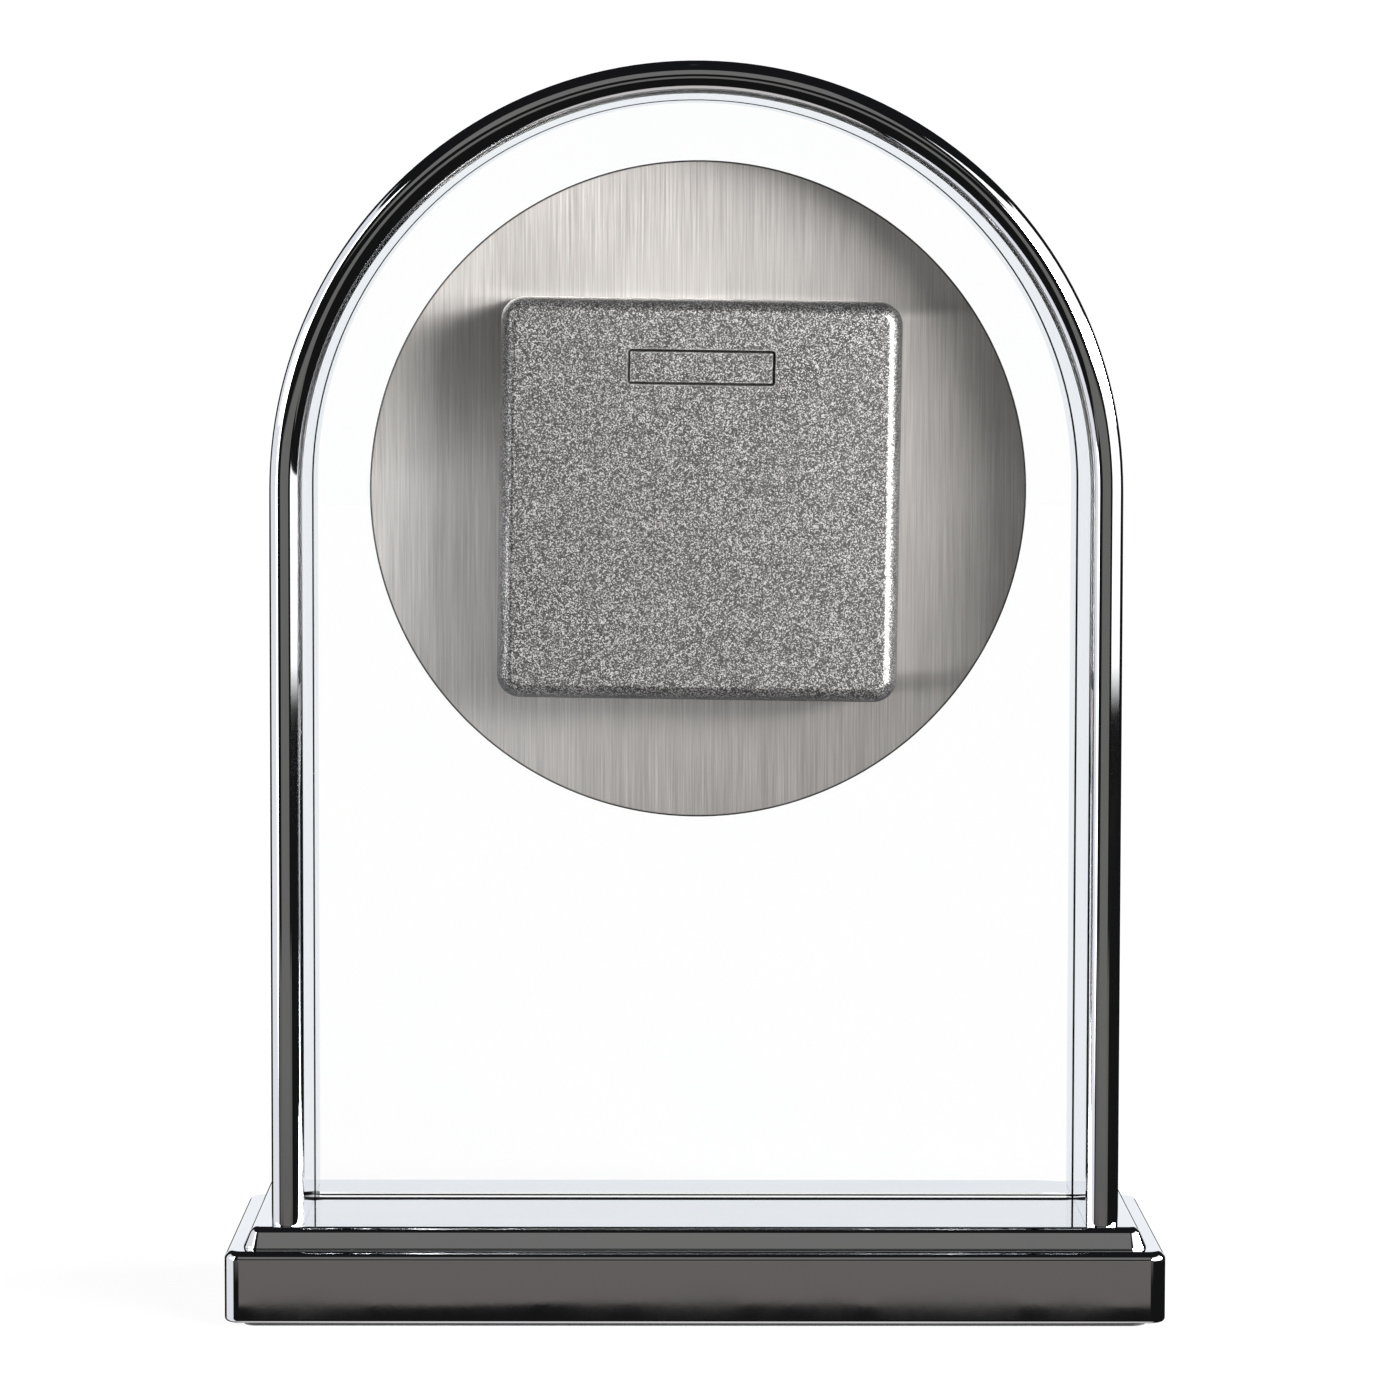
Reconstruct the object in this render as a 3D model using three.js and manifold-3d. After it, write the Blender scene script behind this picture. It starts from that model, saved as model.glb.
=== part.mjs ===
// Flip number clock: a metal arch on a stepped base holds a glass panel, and the
// movement passes through the glass and a round metal backing disc.
// Millimetres, +Z up. Origin: centre of the underside of the felt pad.
// The numbers face -Y. The square battery cover faces +Y.
import * as THREE from 'three';
import { mergeVertices } from 'three/addons/utils/BufferGeometryUtils.js';
import Module from 'manifold-3d';

const wasm = await Module();
wasm.setup();

// ---------------------------------------------------------------- driving dimensions

const MIN_CORNER = 0.5;           // smallest rounded corner
const FIT = 0.03;                 // gap between flat faces that rest on each other
const RAD = Math.PI / 180;
const PAST = 1;                   // how far a cutting shape reaches past the face it cuts
const OVERLAP = 0.5;              // how far two joined shapes run into each other

// base
const SLAB = { width: 133.2, depth: 51, low: 0.8, high: 10.9, corner: 2.6, edge: 1.2, wall: 2 };
const STEP = {
  width: 128.2, depth: 46.4, low: SLAB.high + FIT, high: 13.9, corner: 2.6, slopeDeg: 24, rim: 0.9,
};
const PAD = { width: 128, depth: 46, high: SLAB.low - FIT, corner: 2 };
const WEIGHT = { width: 106, depth: 41, low: 1.2, high: 8.2, corner: 2, edge: 0.6 };

// arch frame, glass and backing disc
const FOOT_Z = STEP.high + FIT;
const ARCH = { radius: 60.2, wall: 4.65, centreZ: 118.3, depth: 42, edge: 2.1 };
const GLASS = { thickness: 5, rearY: -3.4, radius: 57.3 };
const GROOVE = { clearance: 0.2, radius: 57.7 };
const SCREW_SPARE = 2;            // empty hole left past the end of each base screw
const BASE_SCREW = {
  x: ARCH.radius - ARCH.wall / 2, y: 9, shank: 1.1, hole: 1.4, head: 2.4, headHigh: 1.7, grip: 10,
  slot: { length: 6, width: 0.6, deep: 0.7 },
};
const DISC = { radius: 47.5, thickness: 1.45, z: 117.6 };

// movement: its origin is on the drum axle
const MOVEMENT = { x: -0.4, y: -1.5, z: 116.6 };
const CHASSIS = { half: 26, wall: 1, front: -13.7, rear: 15 };
const OPENING_HALF = 26.5;        // square hole in the glass and the disc
const COVER = {
  x: -0.46, z: 116.7, size: 57, wall: 1.5, corner: 2.4, edge: 1.5, front: -1.6, rear: 16, tiltDeg: -0.75,
  grip: { width: 20.7, height: 4.8, up: 18.8, deep: 0.4 },
};
const BEZEL = { size: 59, corner: 3, edge: 1.6, front: -18, wall: 1.5, plate: 1.5 };
const LENS = { half: 25.9, thickness: 1.2 };
const WINDOW = { width: 47.6, height: 22.4, corner: 1.5 };

// number drums: one leaf stands for each number on a drum
const PIN_CIRCLE = 4.5;           // radius of the ring of leaf pins
const LEAF = { height: 9, thickness: 0.3, pin: 0.3, pinReach: 0.8, pinRoot: 0.6 };
const FLANGE = { radius: 5.4, thickness: 0.8, gap: 0.2, hole: 0.5 };
const AXLE = { radius: 1, bore: 1.1, hub: 2.6, reach: 25.9 };
const HUB_END = { left: -24.6, right: 24.1 };
const DRUMS = [
  // upperDeg: where the pin of the standing leaf sits, up from the front
  // tail: how far a leaf reaches past its pin
  { name: 'hours', leaves: 12, x0: -23.2, x1: -7.2, upperDeg: 2, tail: 0.2 },
  { name: 'tens', leaves: 6, x0: -1.6, x1: 7.4, upperDeg: 20, tail: 1.4 },
  { name: 'units', leaves: 10, x0: 13, x1: 22, upperDeg: 8, tail: 0.5 },
];

// gear train
const GEAR_MODULE = 0.4;
const TOOTH = { addendum: 0.85, dedendum: 1.15, rootHalf: 0.26, tipHalf: 0.1 };
const STUB = { radius: 0.6, bore: 0.78, spare: 0.2 };
const SIDES = { axle: 16, stub: 10, pin: 6, nub: 12, wheel: 24 };

const TEETH = {
  unitsToTens: { driver: 16, wheel: 24, pinion: 8, driven: 32 },
  tensToHours: { driver: 10, wheel: 30, pinion: 8, driven: 32 },
  unitsEnd: 50,
  reductionPinion: 10,
  reductionWheel: 30,
  motorPinion: 10,
  setting: 15,
};
const centreDistance = (a, b) => GEAR_MODULE * (a + b) / 2;

// a place given as a distance from another place, at an angle up from +Y
function placeFrom([y, z], distance, angleDeg) {
  return [y + distance * Math.cos(angleDeg * RAD), z + distance * Math.sin(angleDeg * RAD)];
}

const TRANSFER_DEG = 45;
const REDUCTION_DEG = 237.2;
const MOTOR_DEG = 270;
const SETTING_DEG = -35;
const { driver: UNITS_DRIVER, wheel: TENS_WHEEL } = TEETH.unitsToTens;
const TRANSFER_AT = placeFrom([0, 0], centreDistance(UNITS_DRIVER, TENS_WHEEL), TRANSFER_DEG);
const REDUCTION_AT = placeFrom([0, 0], centreDistance(TEETH.unitsEnd, TEETH.reductionPinion), REDUCTION_DEG);
const MOTOR_AT = placeFrom(REDUCTION_AT, centreDistance(TEETH.reductionWheel, TEETH.motorPinion), MOTOR_DEG);
const SETTING_AT = placeFrom([0, 0], centreDistance(TEETH.unitsEnd, TEETH.setting), SETTING_DEG);

// where each gear sits along the axle
const GEARS_X = {
  hoursDriven: [-6.2, -5.2],
  hoursPinion: [-6.35, -4.9],
  hoursWheel: [-4.9, -3.9],
  hoursBridge: [-3.7, -2.9],
  tensDriver: [-4.8, -2.6],
  tensDriven: [8.4, 9.4],
  tensPinion: [8.25, 9.7],
  tensWheel: [9.7, 10.7],
  tensBridge: [10.9, 11.7],
  unitsDriver: [9.8, 12],
  unitsEnd: [23, 23.8],
  endPinion: [22.9, 24.1],
  endWheel: [24.1, 24.7],
};
const WHEEL_MARGIN = 0.1;         // how much wider a meshing wheel is than its mate
const MOTOR = { radius: 4.6, x0: 5, x1: 23.6, shaft: 0.5, bore: 0.8, shaftFrom: 20, shaftGap: 0.4 };
const THUMBWHEEL = { radius: 5, notches: 20, depth: 0.35 };
const BATTERY = { at: [6, -19.4], radius: 5.2, x0: -22.4, x1: 21, nub: 1, nubRadius: 2.6 };
const CONTACT = { thickness: 0.4, half: 3, wallGap: 0.1, dimple: 1.6, batteryGap: 0.1 };
const SPRING = { turns: 4, core: 1.5, narrow: 2, widen: 0.25, wire: 0.6 };
const BOARD = { low: 19, thickness: 1.2, y0: 5, y1: 14, half: 24.7, ledge: 1, ledgeReach: 2.5 };
const CHIP = { x0: -4, x1: 2, edge: 2, high: 1.1 };
const CRYSTAL = { x0: 8, x1: 14, y0: 8, y1: 10, high: 1.9 };
const CATCH = { y0: -6.4, y1: -6, half: 24, low: 17, fingerLow: 14.6, fingerHalf: 1 };
const BRIDGE_HOLE = { hours: 2.8, tens: 4 };   // lets the driving gear of the next drum through
const BRIDGE_OUTLINE = [[-4, -5.5], [10.5, -5.5], [10.5, 12], [4, 12], [4, 24.9], [-4, 24.9]];

// ---------------------------------------------------------------- materials

function finish(color, roughness, metalness, opacity = 1) {
  return new THREE.MeshStandardMaterial({ color, roughness, metalness, opacity, transparent: opacity < 1 });
}
const MATERIALS = {
  chrome: () => finish(0xd8d8dc, 0.06, 1),
  brushed: () => finish(0xa8a49f, 0.35, 1),
  coverSilver: () => finish(0x8f8f8f, 0.45, 0.6),
  glass: () => finish(0xf2fbfb, 0.02, 0, 0.25),
  blackPlastic: () => finish(0x161616, 0.4, 0),
  whitePlastic: () => finish(0xe8e6de, 0.45, 0),
  steel: () => finish(0xb8b8b8, 0.3, 1),
  castIron: () => finish(0x4c4c4e, 0.7, 0.6),
  felt: () => finish(0x1b1b1d, 0.95, 0),
  board: () => finish(0x1f5a34, 0.5, 0),
  battery: () => finish(0x3c4650, 0.35, 0.3),
  brass: () => finish(0xc9a24d, 0.3, 1),
};

// ---------------------------------------------------------------- solids

function toSolid(geometry) {
  const bare = geometry.clone();
  bare.deleteAttribute('normal');
  bare.deleteAttribute('uv');
  const merged = mergeVertices(bare, 1e-4);
  return new wasm.Manifold(new wasm.Mesh({
    numProp: 3,
    vertProperties: new Float32Array(merged.attributes.position.array),
    triVerts: new Uint32Array(merged.index.array),
  }));
}

function toGeometry(solid) {
  const mesh = solid.getMesh();
  const geometry = new THREE.BufferGeometry();
  geometry.setAttribute('position', new THREE.BufferAttribute(mesh.vertProperties, 3));
  geometry.setIndex(new THREE.BufferAttribute(mesh.triVerts, 1));
  geometry.computeVertexNormals();
  return geometry;
}

function box([x0, y0, z0], [x1, y1, z1]) {
  const geometry = new THREE.BoxGeometry(x1 - x0, y1 - y0, z1 - z0);
  geometry.translate((x0 + x1) / 2, (y0 + y1) / 2, (z0 + z1) / 2);
  return toSolid(geometry);
}

// a round bar along X from x0 to x1, centred at [y, z]
function barX(x0, x1, [y, z], radius, sides) {
  const geometry = new THREE.CylinderGeometry(radius, radius, x1 - x0, sides);
  geometry.rotateZ(-Math.PI / 2);
  geometry.translate((x0 + x1) / 2, y, z);
  return toSolid(geometry);
}

// a round bar along Z from z0 to z1, centred at [x, y]
function barZ(z0, z1, [x, y], radius, sides) {
  const geometry = new THREE.CylinderGeometry(radius, radius, z1 - z0, sides);
  geometry.rotateX(Math.PI / 2);
  geometry.translate(x, y, (z0 + z1) / 2);
  return toSolid(geometry);
}

// a flat outline in the YZ plane, made thick along X
const TO_X = new THREE.Matrix4().makeBasis(
  new THREE.Vector3(0, 1, 0), new THREE.Vector3(0, 0, 1), new THREE.Vector3(1, 0, 0));
function plateX(shape, x0, x1, curveSegments = 12) {
  const geometry = new THREE.ExtrudeGeometry(shape, { depth: x1 - x0, bevelEnabled: false, curveSegments });
  geometry.applyMatrix4(TO_X);
  geometry.translate(x0, 0, 0);
  return toSolid(geometry);
}

// a flat outline in the XZ plane, made thick along Y, with rounded rims when edge > 0
function plateY(shape, y0, y1, edge = 0, curveSegments = 16) {
  const rounding = {
    bevelEnabled: edge > 0, bevelThickness: edge, bevelSize: edge, bevelOffset: -edge, bevelSegments: 3,
  };
  const depth = y1 - y0 - 2 * edge;
  const geometry = new THREE.ExtrudeGeometry(shape, { depth, curveSegments, ...rounding });
  geometry.rotateX(Math.PI / 2);
  geometry.translate(0, y1 - edge, 0);
  return toSolid(geometry);
}

// the points of a rounded rectangle centred on the origin, anticlockwise
function roundedRing(width, height, corner, segments = 4) {
  const points = [];
  const centres = [[1, 1], [-1, 1], [-1, -1], [1, -1]];
  centres.forEach(([sx, sy], quarter) => {
    for (let i = 0; i <= segments; i += 1) {
      const angle = (quarter + i / segments) * Math.PI / 2;
      points.push([
        sx * (width / 2 - corner) + corner * Math.cos(angle),
        sy * (height / 2 - corner) + corner * Math.sin(angle),
      ]);
    }
  });
  return points;
}

function roundedRectangle(width, height, corner, centreX = 0, centreY = 0) {
  return new THREE.Shape(roundedRing(width, height, corner).map(
    ([x, y]) => new THREE.Vector2(x + centreX, y + centreY)));
}

// a rounded rectangle whose outline is drawn in by a different amount at each level;
// levels run from low to high and the result stands on Z
function steppedBlock(width, depth, corner, levels) {
  const rings = levels.map(({ z, inset }) => roundedRing(
    width - 2 * inset, depth - 2 * inset, Math.max(corner - inset, MIN_CORNER)).map(([x, y]) => [x, y, z]));
  const count = rings[0].length;
  const indices = [];
  for (let row = 0; row + 1 < rings.length; row += 1) {
    for (let i = 0; i < count; i += 1) {
      const next = (i + 1) % count;
      const low = row * count;
      const high = low + count;
      indices.push(low + i, low + next, high + next, low + i, high + next, high + i);
    }
  }
  const top = (rings.length - 1) * count;
  for (let i = 1; i + 1 < count; i += 1) {
    indices.push(0, i + 1, i);
    indices.push(top, top + i, top + i + 1);
  }
  const geometry = new THREE.BufferGeometry();
  geometry.setAttribute('position', new THREE.Float32BufferAttribute(rings.flat(2), 3));
  geometry.setIndex(indices);
  return geometry;
}

// levels for a block whose rims are rounded with the given radii
function roundedLevels(low, high, lowRadius, highRadius, steps = 3) {
  const levels = [];
  const turn = (radius, i) => ({
    inset: radius * (1 - Math.sin(i / steps * Math.PI / 2)),
    rise: radius * (1 - Math.cos(i / steps * Math.PI / 2)),
  });
  if (lowRadius > 0) {
    for (let i = 0; i < steps; i += 1) {
      const { inset, rise } = turn(lowRadius, i);
      levels.push({ z: low + rise, inset });
    }
  }
  levels.push({ z: low + lowRadius, inset: 0 });
  levels.push({ z: high - highRadius, inset: 0 });
  if (highRadius > 0) {
    for (let i = steps - 1; i >= 0; i -= 1) {
      const { inset, rise } = turn(highRadius, i);
      levels.push({ z: high - rise, inset });
    }
  }
  return levels;
}

// levels for a block whose sides lean in from the foot and end in a rounded rim
function slopedLevels({ low, high, slopeDeg, rim }, steps = 3) {
  const slope = slopeDeg * RAD;
  const rimLow = high - rim * (1 - Math.sin(slope));
  const leanIn = (rimLow - low) * Math.tan(slope);
  const levels = [{ z: low, inset: 0 }];
  for (let i = 0; i <= steps; i += 1) {
    const turn = slope + (Math.PI / 2 - slope) * i / steps;
    const z = rimLow + rim * (Math.sin(turn) - Math.sin(slope));
    levels.push({ z, inset: leanIn + rim * (Math.cos(slope) - Math.cos(turn)) });
  }
  return levels;
}

// ---------------------------------------------------------------- gears and drums

function gearShape(teeth, toothAtDeg) {
  const pitchRadius = GEAR_MODULE * teeth / 2;
  const tip = pitchRadius + TOOTH.addendum * GEAR_MODULE;
  const root = pitchRadius - TOOTH.dedendum * GEAR_MODULE;
  const step = 2 * Math.PI / teeth;
  const { rootHalf, tipHalf } = TOOTH;
  const corners = [[root, -rootHalf], [tip, -tipHalf], [tip, tipHalf], [root, rootHalf]];
  const points = [];
  for (let i = 0; i < teeth; i += 1) {
    for (const [radius, part] of corners) {
      const angle = toothAtDeg * RAD + (i + part) * step;
      points.push(new THREE.Vector2(radius * Math.cos(angle), radius * Math.sin(angle)));
    }
  }
  return new THREE.Shape(points);
}

// a gear whose tooth, or whose gap, faces toothAtDeg
function gear(teeth, [x0, x1], facingDeg, facesWith = 'tooth') {
  const turn = facesWith === 'gap' ? 180 / teeth : 0;
  return plateX(gearShape(teeth, facingDeg + turn), x0, x1);
}

// the pins of a drum's leaves, in order from the standing leaf up and over to the back
function leafPins({ leaves, upperDeg }) {
  return Array.from({ length: leaves }, (_, index) => {
    const pinDeg = upperDeg + index * 360 / leaves;
    const at = [-PIN_CIRCLE * Math.cos(pinDeg * RAD), PIN_CIRCLE * Math.sin(pinDeg * RAD)];
    const hangs = pinDeg > 180;
    const turnDeg = hangs ? 180 : -index * 360 / leaves;
    return { at, turnDeg };
  });
}

function flange(drum, x0) {
  let disc = barX(x0, x0 + FLANGE.thickness, [0, 0], FLANGE.radius, SIDES.wheel);
  for (const { at } of leafPins(drum)) {
    disc = disc.subtract(barX(x0 - PAST, x0 + FLANGE.thickness + PAST, at, FLANGE.hole, SIDES.pin));
  }
  return disc;
}

// a bore along X that passes right through the movement
function boreX(radius, sides) {
  const reach = CHASSIS.half + PAST;
  return barX(-reach, reach, [0, 0], radius, sides);
}

// hub and two flanges, with any gears joined on, bored for the axle
function drumSolid(drum, hubFrom, hubTo, gears) {
  let solid = barX(hubFrom, hubTo, [0, 0], AXLE.hub, SIDES.axle);
  solid = solid.add(flange(drum, drum.x0 - FLANGE.gap - FLANGE.thickness));
  solid = solid.add(flange(drum, drum.x1 + FLANGE.gap));
  for (const part of gears) {
    solid = solid.add(part);
  }
  return solid.subtract(boreX(AXLE.bore, SIDES.axle));
}

// one leaf standing up, with its pins on the local X axis
function leafSolid({ x0, x1, tail }) {
  const half = LEAF.thickness / 2;
  const sheet = box([x0, -half, -tail], [x1, half, LEAF.height - tail]);
  const left = barX(x0 - LEAF.pinReach, x0 + LEAF.pinRoot, [0, 0], LEAF.pin, SIDES.pin);
  const right = barX(x1 - LEAF.pinRoot, x1 + LEAF.pinReach, [0, 0], LEAF.pin, SIDES.pin);
  return sheet.add(left).add(right);
}

// a wheel and a pinion in one piece, turning on a stub, built with the stub at the origin
function doubleGear(wheelTeeth, wheelX, pinionTeeth, pinionX, wheelDeg, pinionDeg, pinionFacesWith) {
  const wheel = gear(wheelTeeth, wheelX, wheelDeg, 'gap');
  const pinion = gear(pinionTeeth, pinionX, pinionDeg, pinionFacesWith);
  return wheel.add(pinion).subtract(boreX(STUB.bore, SIDES.stub));
}

// ---------------------------------------------------------------- scene graph

const clock = new THREE.Group();
const movement = new THREE.Group();
movement.position.set(MOVEMENT.x, MOVEMENT.y, MOVEMENT.z);
clock.add(movement);

function addPiece(parent, name, solid, material, [x, y, z] = [0, 0, 0]) {
  const mesh = new THREE.Mesh(toGeometry(solid), material());
  mesh.name = name;
  mesh.position.set(x, y, z);
  parent.add(mesh);
  return mesh;
}

// ---------------------------------------------------------------- base

function baseScrewHoles(radius, z0, z1) {
  const left = barZ(z0, z1, [-BASE_SCREW.x, BASE_SCREW.y], radius, SIDES.stub);
  const right = barZ(z0, z1, [BASE_SCREW.x, BASE_SCREW.y], radius, SIDES.stub);
  return left.add(right);
}

function feltPad() {
  return toSolid(steppedBlock(PAD.width, PAD.depth, PAD.corner, roundedLevels(0, PAD.high, 0, 0)));
}

function baseSlab() {
  const outer = toSolid(steppedBlock(SLAB.width, SLAB.depth, SLAB.corner,
    roundedLevels(SLAB.low, SLAB.high, SLAB.edge / 2, SLAB.edge)));
  const cavity = toSolid(steppedBlock(SLAB.width - 2 * SLAB.wall, SLAB.depth - 2 * SLAB.wall, SLAB.corner - 1,
    roundedLevels(SLAB.low - PAST, SLAB.high - SLAB.wall, 0, 0)));
  const holes = baseScrewHoles(BASE_SCREW.hole, SLAB.low, SLAB.high + PAST);
  return outer.subtract(cavity).subtract(holes);
}

function baseStep() {
  const block = toSolid(steppedBlock(STEP.width, STEP.depth, STEP.corner, slopedLevels(STEP)));
  return block.subtract(baseScrewHoles(BASE_SCREW.hole, STEP.low - PAST, STEP.high + PAST));
}

function baseWeight() {
  return toSolid(steppedBlock(WEIGHT.width, WEIGHT.depth, WEIGHT.corner,
    roundedLevels(WEIGHT.low, WEIGHT.high, 0, WEIGHT.edge, 1)));
}

function baseScrew(x) {
  const seat = SLAB.high - SLAB.wall - FIT;
  const at = [x, BASE_SCREW.y];
  const head = barZ(seat - BASE_SCREW.headHigh, seat, at, BASE_SCREW.head, SIDES.axle);
  const shankLow = seat - BASE_SCREW.headHigh / 2;
  const shank = barZ(shankLow, FOOT_Z + BASE_SCREW.grip, at, BASE_SCREW.shank, SIDES.stub);
  const { length, width, deep } = BASE_SCREW.slot;
  const headLow = seat - BASE_SCREW.headHigh;
  const slot = box([x - length / 2, BASE_SCREW.y - width / 2, headLow - PAST],
    [x + length / 2, BASE_SCREW.y + width / 2, headLow + deep]);
  return head.add(shank).subtract(slot);
}

addPiece(clock, 'felt_pad', feltPad(), MATERIALS.felt);
addPiece(clock, 'base_slab', baseSlab(), MATERIALS.chrome);
addPiece(clock, 'base_step', baseStep(), MATERIALS.chrome);
addPiece(clock, 'base_weight', baseWeight(), MATERIALS.castIron);
addPiece(clock, 'base_screw_left', baseScrew(-BASE_SCREW.x), MATERIALS.steel);
addPiece(clock, 'base_screw_right', baseScrew(BASE_SCREW.x), MATERIALS.steel);

// ---------------------------------------------------------------- arch, glass and disc

// a filled arch: straight sides up to the centre, then half a circle
function archShape(radius, footZ) {
  const shape = new THREE.Shape();
  shape.moveTo(radius, footZ);
  shape.lineTo(radius, ARCH.centreZ);
  shape.absarc(0, ARCH.centreZ, radius, 0, Math.PI, false);
  shape.lineTo(-radius, footZ);
  shape.closePath();
  return shape;
}

function archBandShape() {
  const inner = ARCH.radius - ARCH.wall;
  const shape = new THREE.Shape();
  shape.moveTo(ARCH.radius, FOOT_Z);
  shape.lineTo(ARCH.radius, ARCH.centreZ);
  shape.absarc(0, ARCH.centreZ, ARCH.radius, 0, Math.PI, false);
  shape.lineTo(-ARCH.radius, FOOT_Z);
  shape.lineTo(-inner, FOOT_Z);
  shape.lineTo(-inner, ARCH.centreZ);
  shape.absarc(0, ARCH.centreZ, inner, Math.PI, 0, true);
  shape.lineTo(inner, FOOT_Z);
  shape.closePath();
  return shape;
}

function squareHole(half, x, z) {
  const corners = [[-half, -half], [half, -half], [half, half], [-half, half]];
  return new THREE.Path(corners.map(([dx, dz]) => new THREE.Vector2(x + dx, z + dz)));
}

function archFrame() {
  const band = plateY(archBandShape(), -ARCH.depth / 2, ARCH.depth / 2, ARCH.edge);
  const grooveFront = GLASS.rearY - GLASS.thickness - GROOVE.clearance;
  const grooveRear = GLASS.rearY + GROOVE.clearance;
  const groove = plateY(archShape(GROOVE.radius, FOOT_Z - PAST), grooveFront, grooveRear);
  const holeTop = FOOT_Z + BASE_SCREW.grip + SCREW_SPARE;
  const holes = baseScrewHoles(BASE_SCREW.hole, FOOT_Z - PAST, holeTop);
  return band.subtract(groove).subtract(holes);
}

function glassPanel() {
  const shape = archShape(GLASS.radius, FOOT_Z);
  shape.holes.push(squareHole(OPENING_HALF, MOVEMENT.x, MOVEMENT.z));
  return plateY(shape, GLASS.rearY - GLASS.thickness, GLASS.rearY);
}

function backingDisc() {
  const shape = new THREE.Shape();
  shape.absarc(MOVEMENT.x, DISC.z, DISC.radius, 0, 2 * Math.PI, false);
  shape.holes.push(squareHole(OPENING_HALF, MOVEMENT.x, MOVEMENT.z));
  const front = GLASS.rearY + FIT;
  return plateY(shape, front, front + DISC.thickness, 0, 32);
}

addPiece(clock, 'arch_frame', archFrame(), MATERIALS.chrome);
addPiece(clock, 'glass_panel', glassPanel(), MATERIALS.glass);
addPiece(clock, 'backing_disc', backingDisc(), MATERIALS.brushed);

// ---------------------------------------------------------------- cover, bezel and lens

// a square cap standing on Z with its open side down, centred on the origin
function cap(size, corner, edge, wall, top, high) {
  const outer = toSolid(steppedBlock(size, size, corner, roundedLevels(0, high, 0, edge)));
  const inner = toSolid(steppedBlock(size - 2 * wall, size - 2 * wall, Math.max(corner - wall, MIN_CORNER),
    roundedLevels(-PAST, high - top, 0, 0)));
  return outer.subtract(inner);
}

function rearCover() {
  const high = COVER.rear - COVER.front;
  const { width, height, up, deep } = COVER.grip;
  const grip = box([-width / 2, up - height / 2, high - deep], [width / 2, up + height / 2, high + PAST]);
  return cap(COVER.size, COVER.corner, COVER.edge, COVER.wall, COVER.wall, high).subtract(grip);
}

function frontBezel() {
  const high = -BEZEL.front + GLASS.rearY - GLASS.thickness - FIT;
  const window = toSolid(steppedBlock(WINDOW.width, WINDOW.height, WINDOW.corner,
    roundedLevels(high - BEZEL.plate - PAST, high + PAST, 0, 0)));
  return cap(BEZEL.size, BEZEL.corner, BEZEL.edge, BEZEL.wall, BEZEL.plate, high).subtract(window);
}

function frontLens() {
  const front = BEZEL.front + BEZEL.plate + FIT;
  const { half, thickness } = LENS;
  return box([-half, front, -half], [half, front + thickness, half]);
}

// the cap's top is turned to face +Y and its own +Y becomes +Z
const cover = addPiece(clock, 'rear_cover', rearCover(), MATERIALS.coverSilver,
  [COVER.x, COVER.front, COVER.z]);
cover.geometry.applyMatrix4(new THREE.Matrix4().makeBasis(
  new THREE.Vector3(-1, 0, 0), new THREE.Vector3(0, 0, 1), new THREE.Vector3(0, 1, 0)));
cover.rotation.y = COVER.tiltDeg * RAD;

// the cap's top is turned to face -Y
const bezel = addPiece(clock, 'front_bezel', frontBezel(), MATERIALS.chrome,
  [MOVEMENT.x, GLASS.rearY - GLASS.thickness - FIT, MOVEMENT.z]);
bezel.geometry.rotateX(Math.PI / 2);

addPiece(clock, 'front_lens', frontLens(), MATERIALS.glass, [MOVEMENT.x, 0, MOVEMENT.z]);

// ---------------------------------------------------------------- movement

const INNER_HALF = CHASSIS.half - CHASSIS.wall;

function chassis() {
  const { half, front, rear } = CHASSIS;
  let tube = box([-half, front, -half], [half, rear, half]);
  tube = tube.subtract(box([-INNER_HALF, front - PAST, -INNER_HALF], [INNER_HALF, rear + PAST, INNER_HALF]));
  for (const side of [-1, 1]) {
    const ledgeX = [side * (half - OVERLAP), side * (INNER_HALF - BOARD.ledgeReach)].sort((a, b) => a - b);
    const low = BOARD.low - FIT - BOARD.ledge;
    tube = tube.add(box([ledgeX[0], BOARD.y0, low], [ledgeX[1], BOARD.y1, low + BOARD.ledge]));
  }
  for (const at of [REDUCTION_AT, SETTING_AT]) {
    tube = tube.add(barX(GEARS_X.endPinion[0] - STUB.spare, half - OVERLAP, at, STUB.radius, SIDES.stub));
  }
  return tube.subtract(boreX(AXLE.bore, SIDES.axle));
}

function bridge([x0, x1], holeRadius, stubTo) {
  const plate = plateX(new THREE.Shape(BRIDGE_OUTLINE.map(([y, z]) => new THREE.Vector2(y, z))), x0, x1);
  const opening = barX(x0 - PAST, x1 + PAST, [0, 0], holeRadius, SIDES.axle);
  const stub = barX(stubTo, (x0 + x1) / 2, TRANSFER_AT, STUB.radius, SIDES.stub);
  return plate.subtract(opening).add(stub);
}

const [HOURS, TENS, UNITS] = DRUMS;

function hoursDrum() {
  const driven = gear(TEETH.tensToHours.driven, GEARS_X.hoursDriven, TRANSFER_DEG, 'gap');
  return drumSolid(HOURS, HUB_END.left, GEARS_X.hoursDriven[1], [driven]);
}

function tensDrum() {
  const driver = gear(TEETH.tensToHours.driver, GEARS_X.tensDriver, TRANSFER_DEG);
  const driven = gear(TEETH.unitsToTens.driven, GEARS_X.tensDriven, TRANSFER_DEG, 'gap');
  return drumSolid(TENS, GEARS_X.tensDriver[1], GEARS_X.tensDriven[1], [driver, driven]);
}

// the end gear meets two pinions, so each pinion is turned to fit its teeth
const END_TOOTH_DEG = REDUCTION_DEG;

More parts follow.
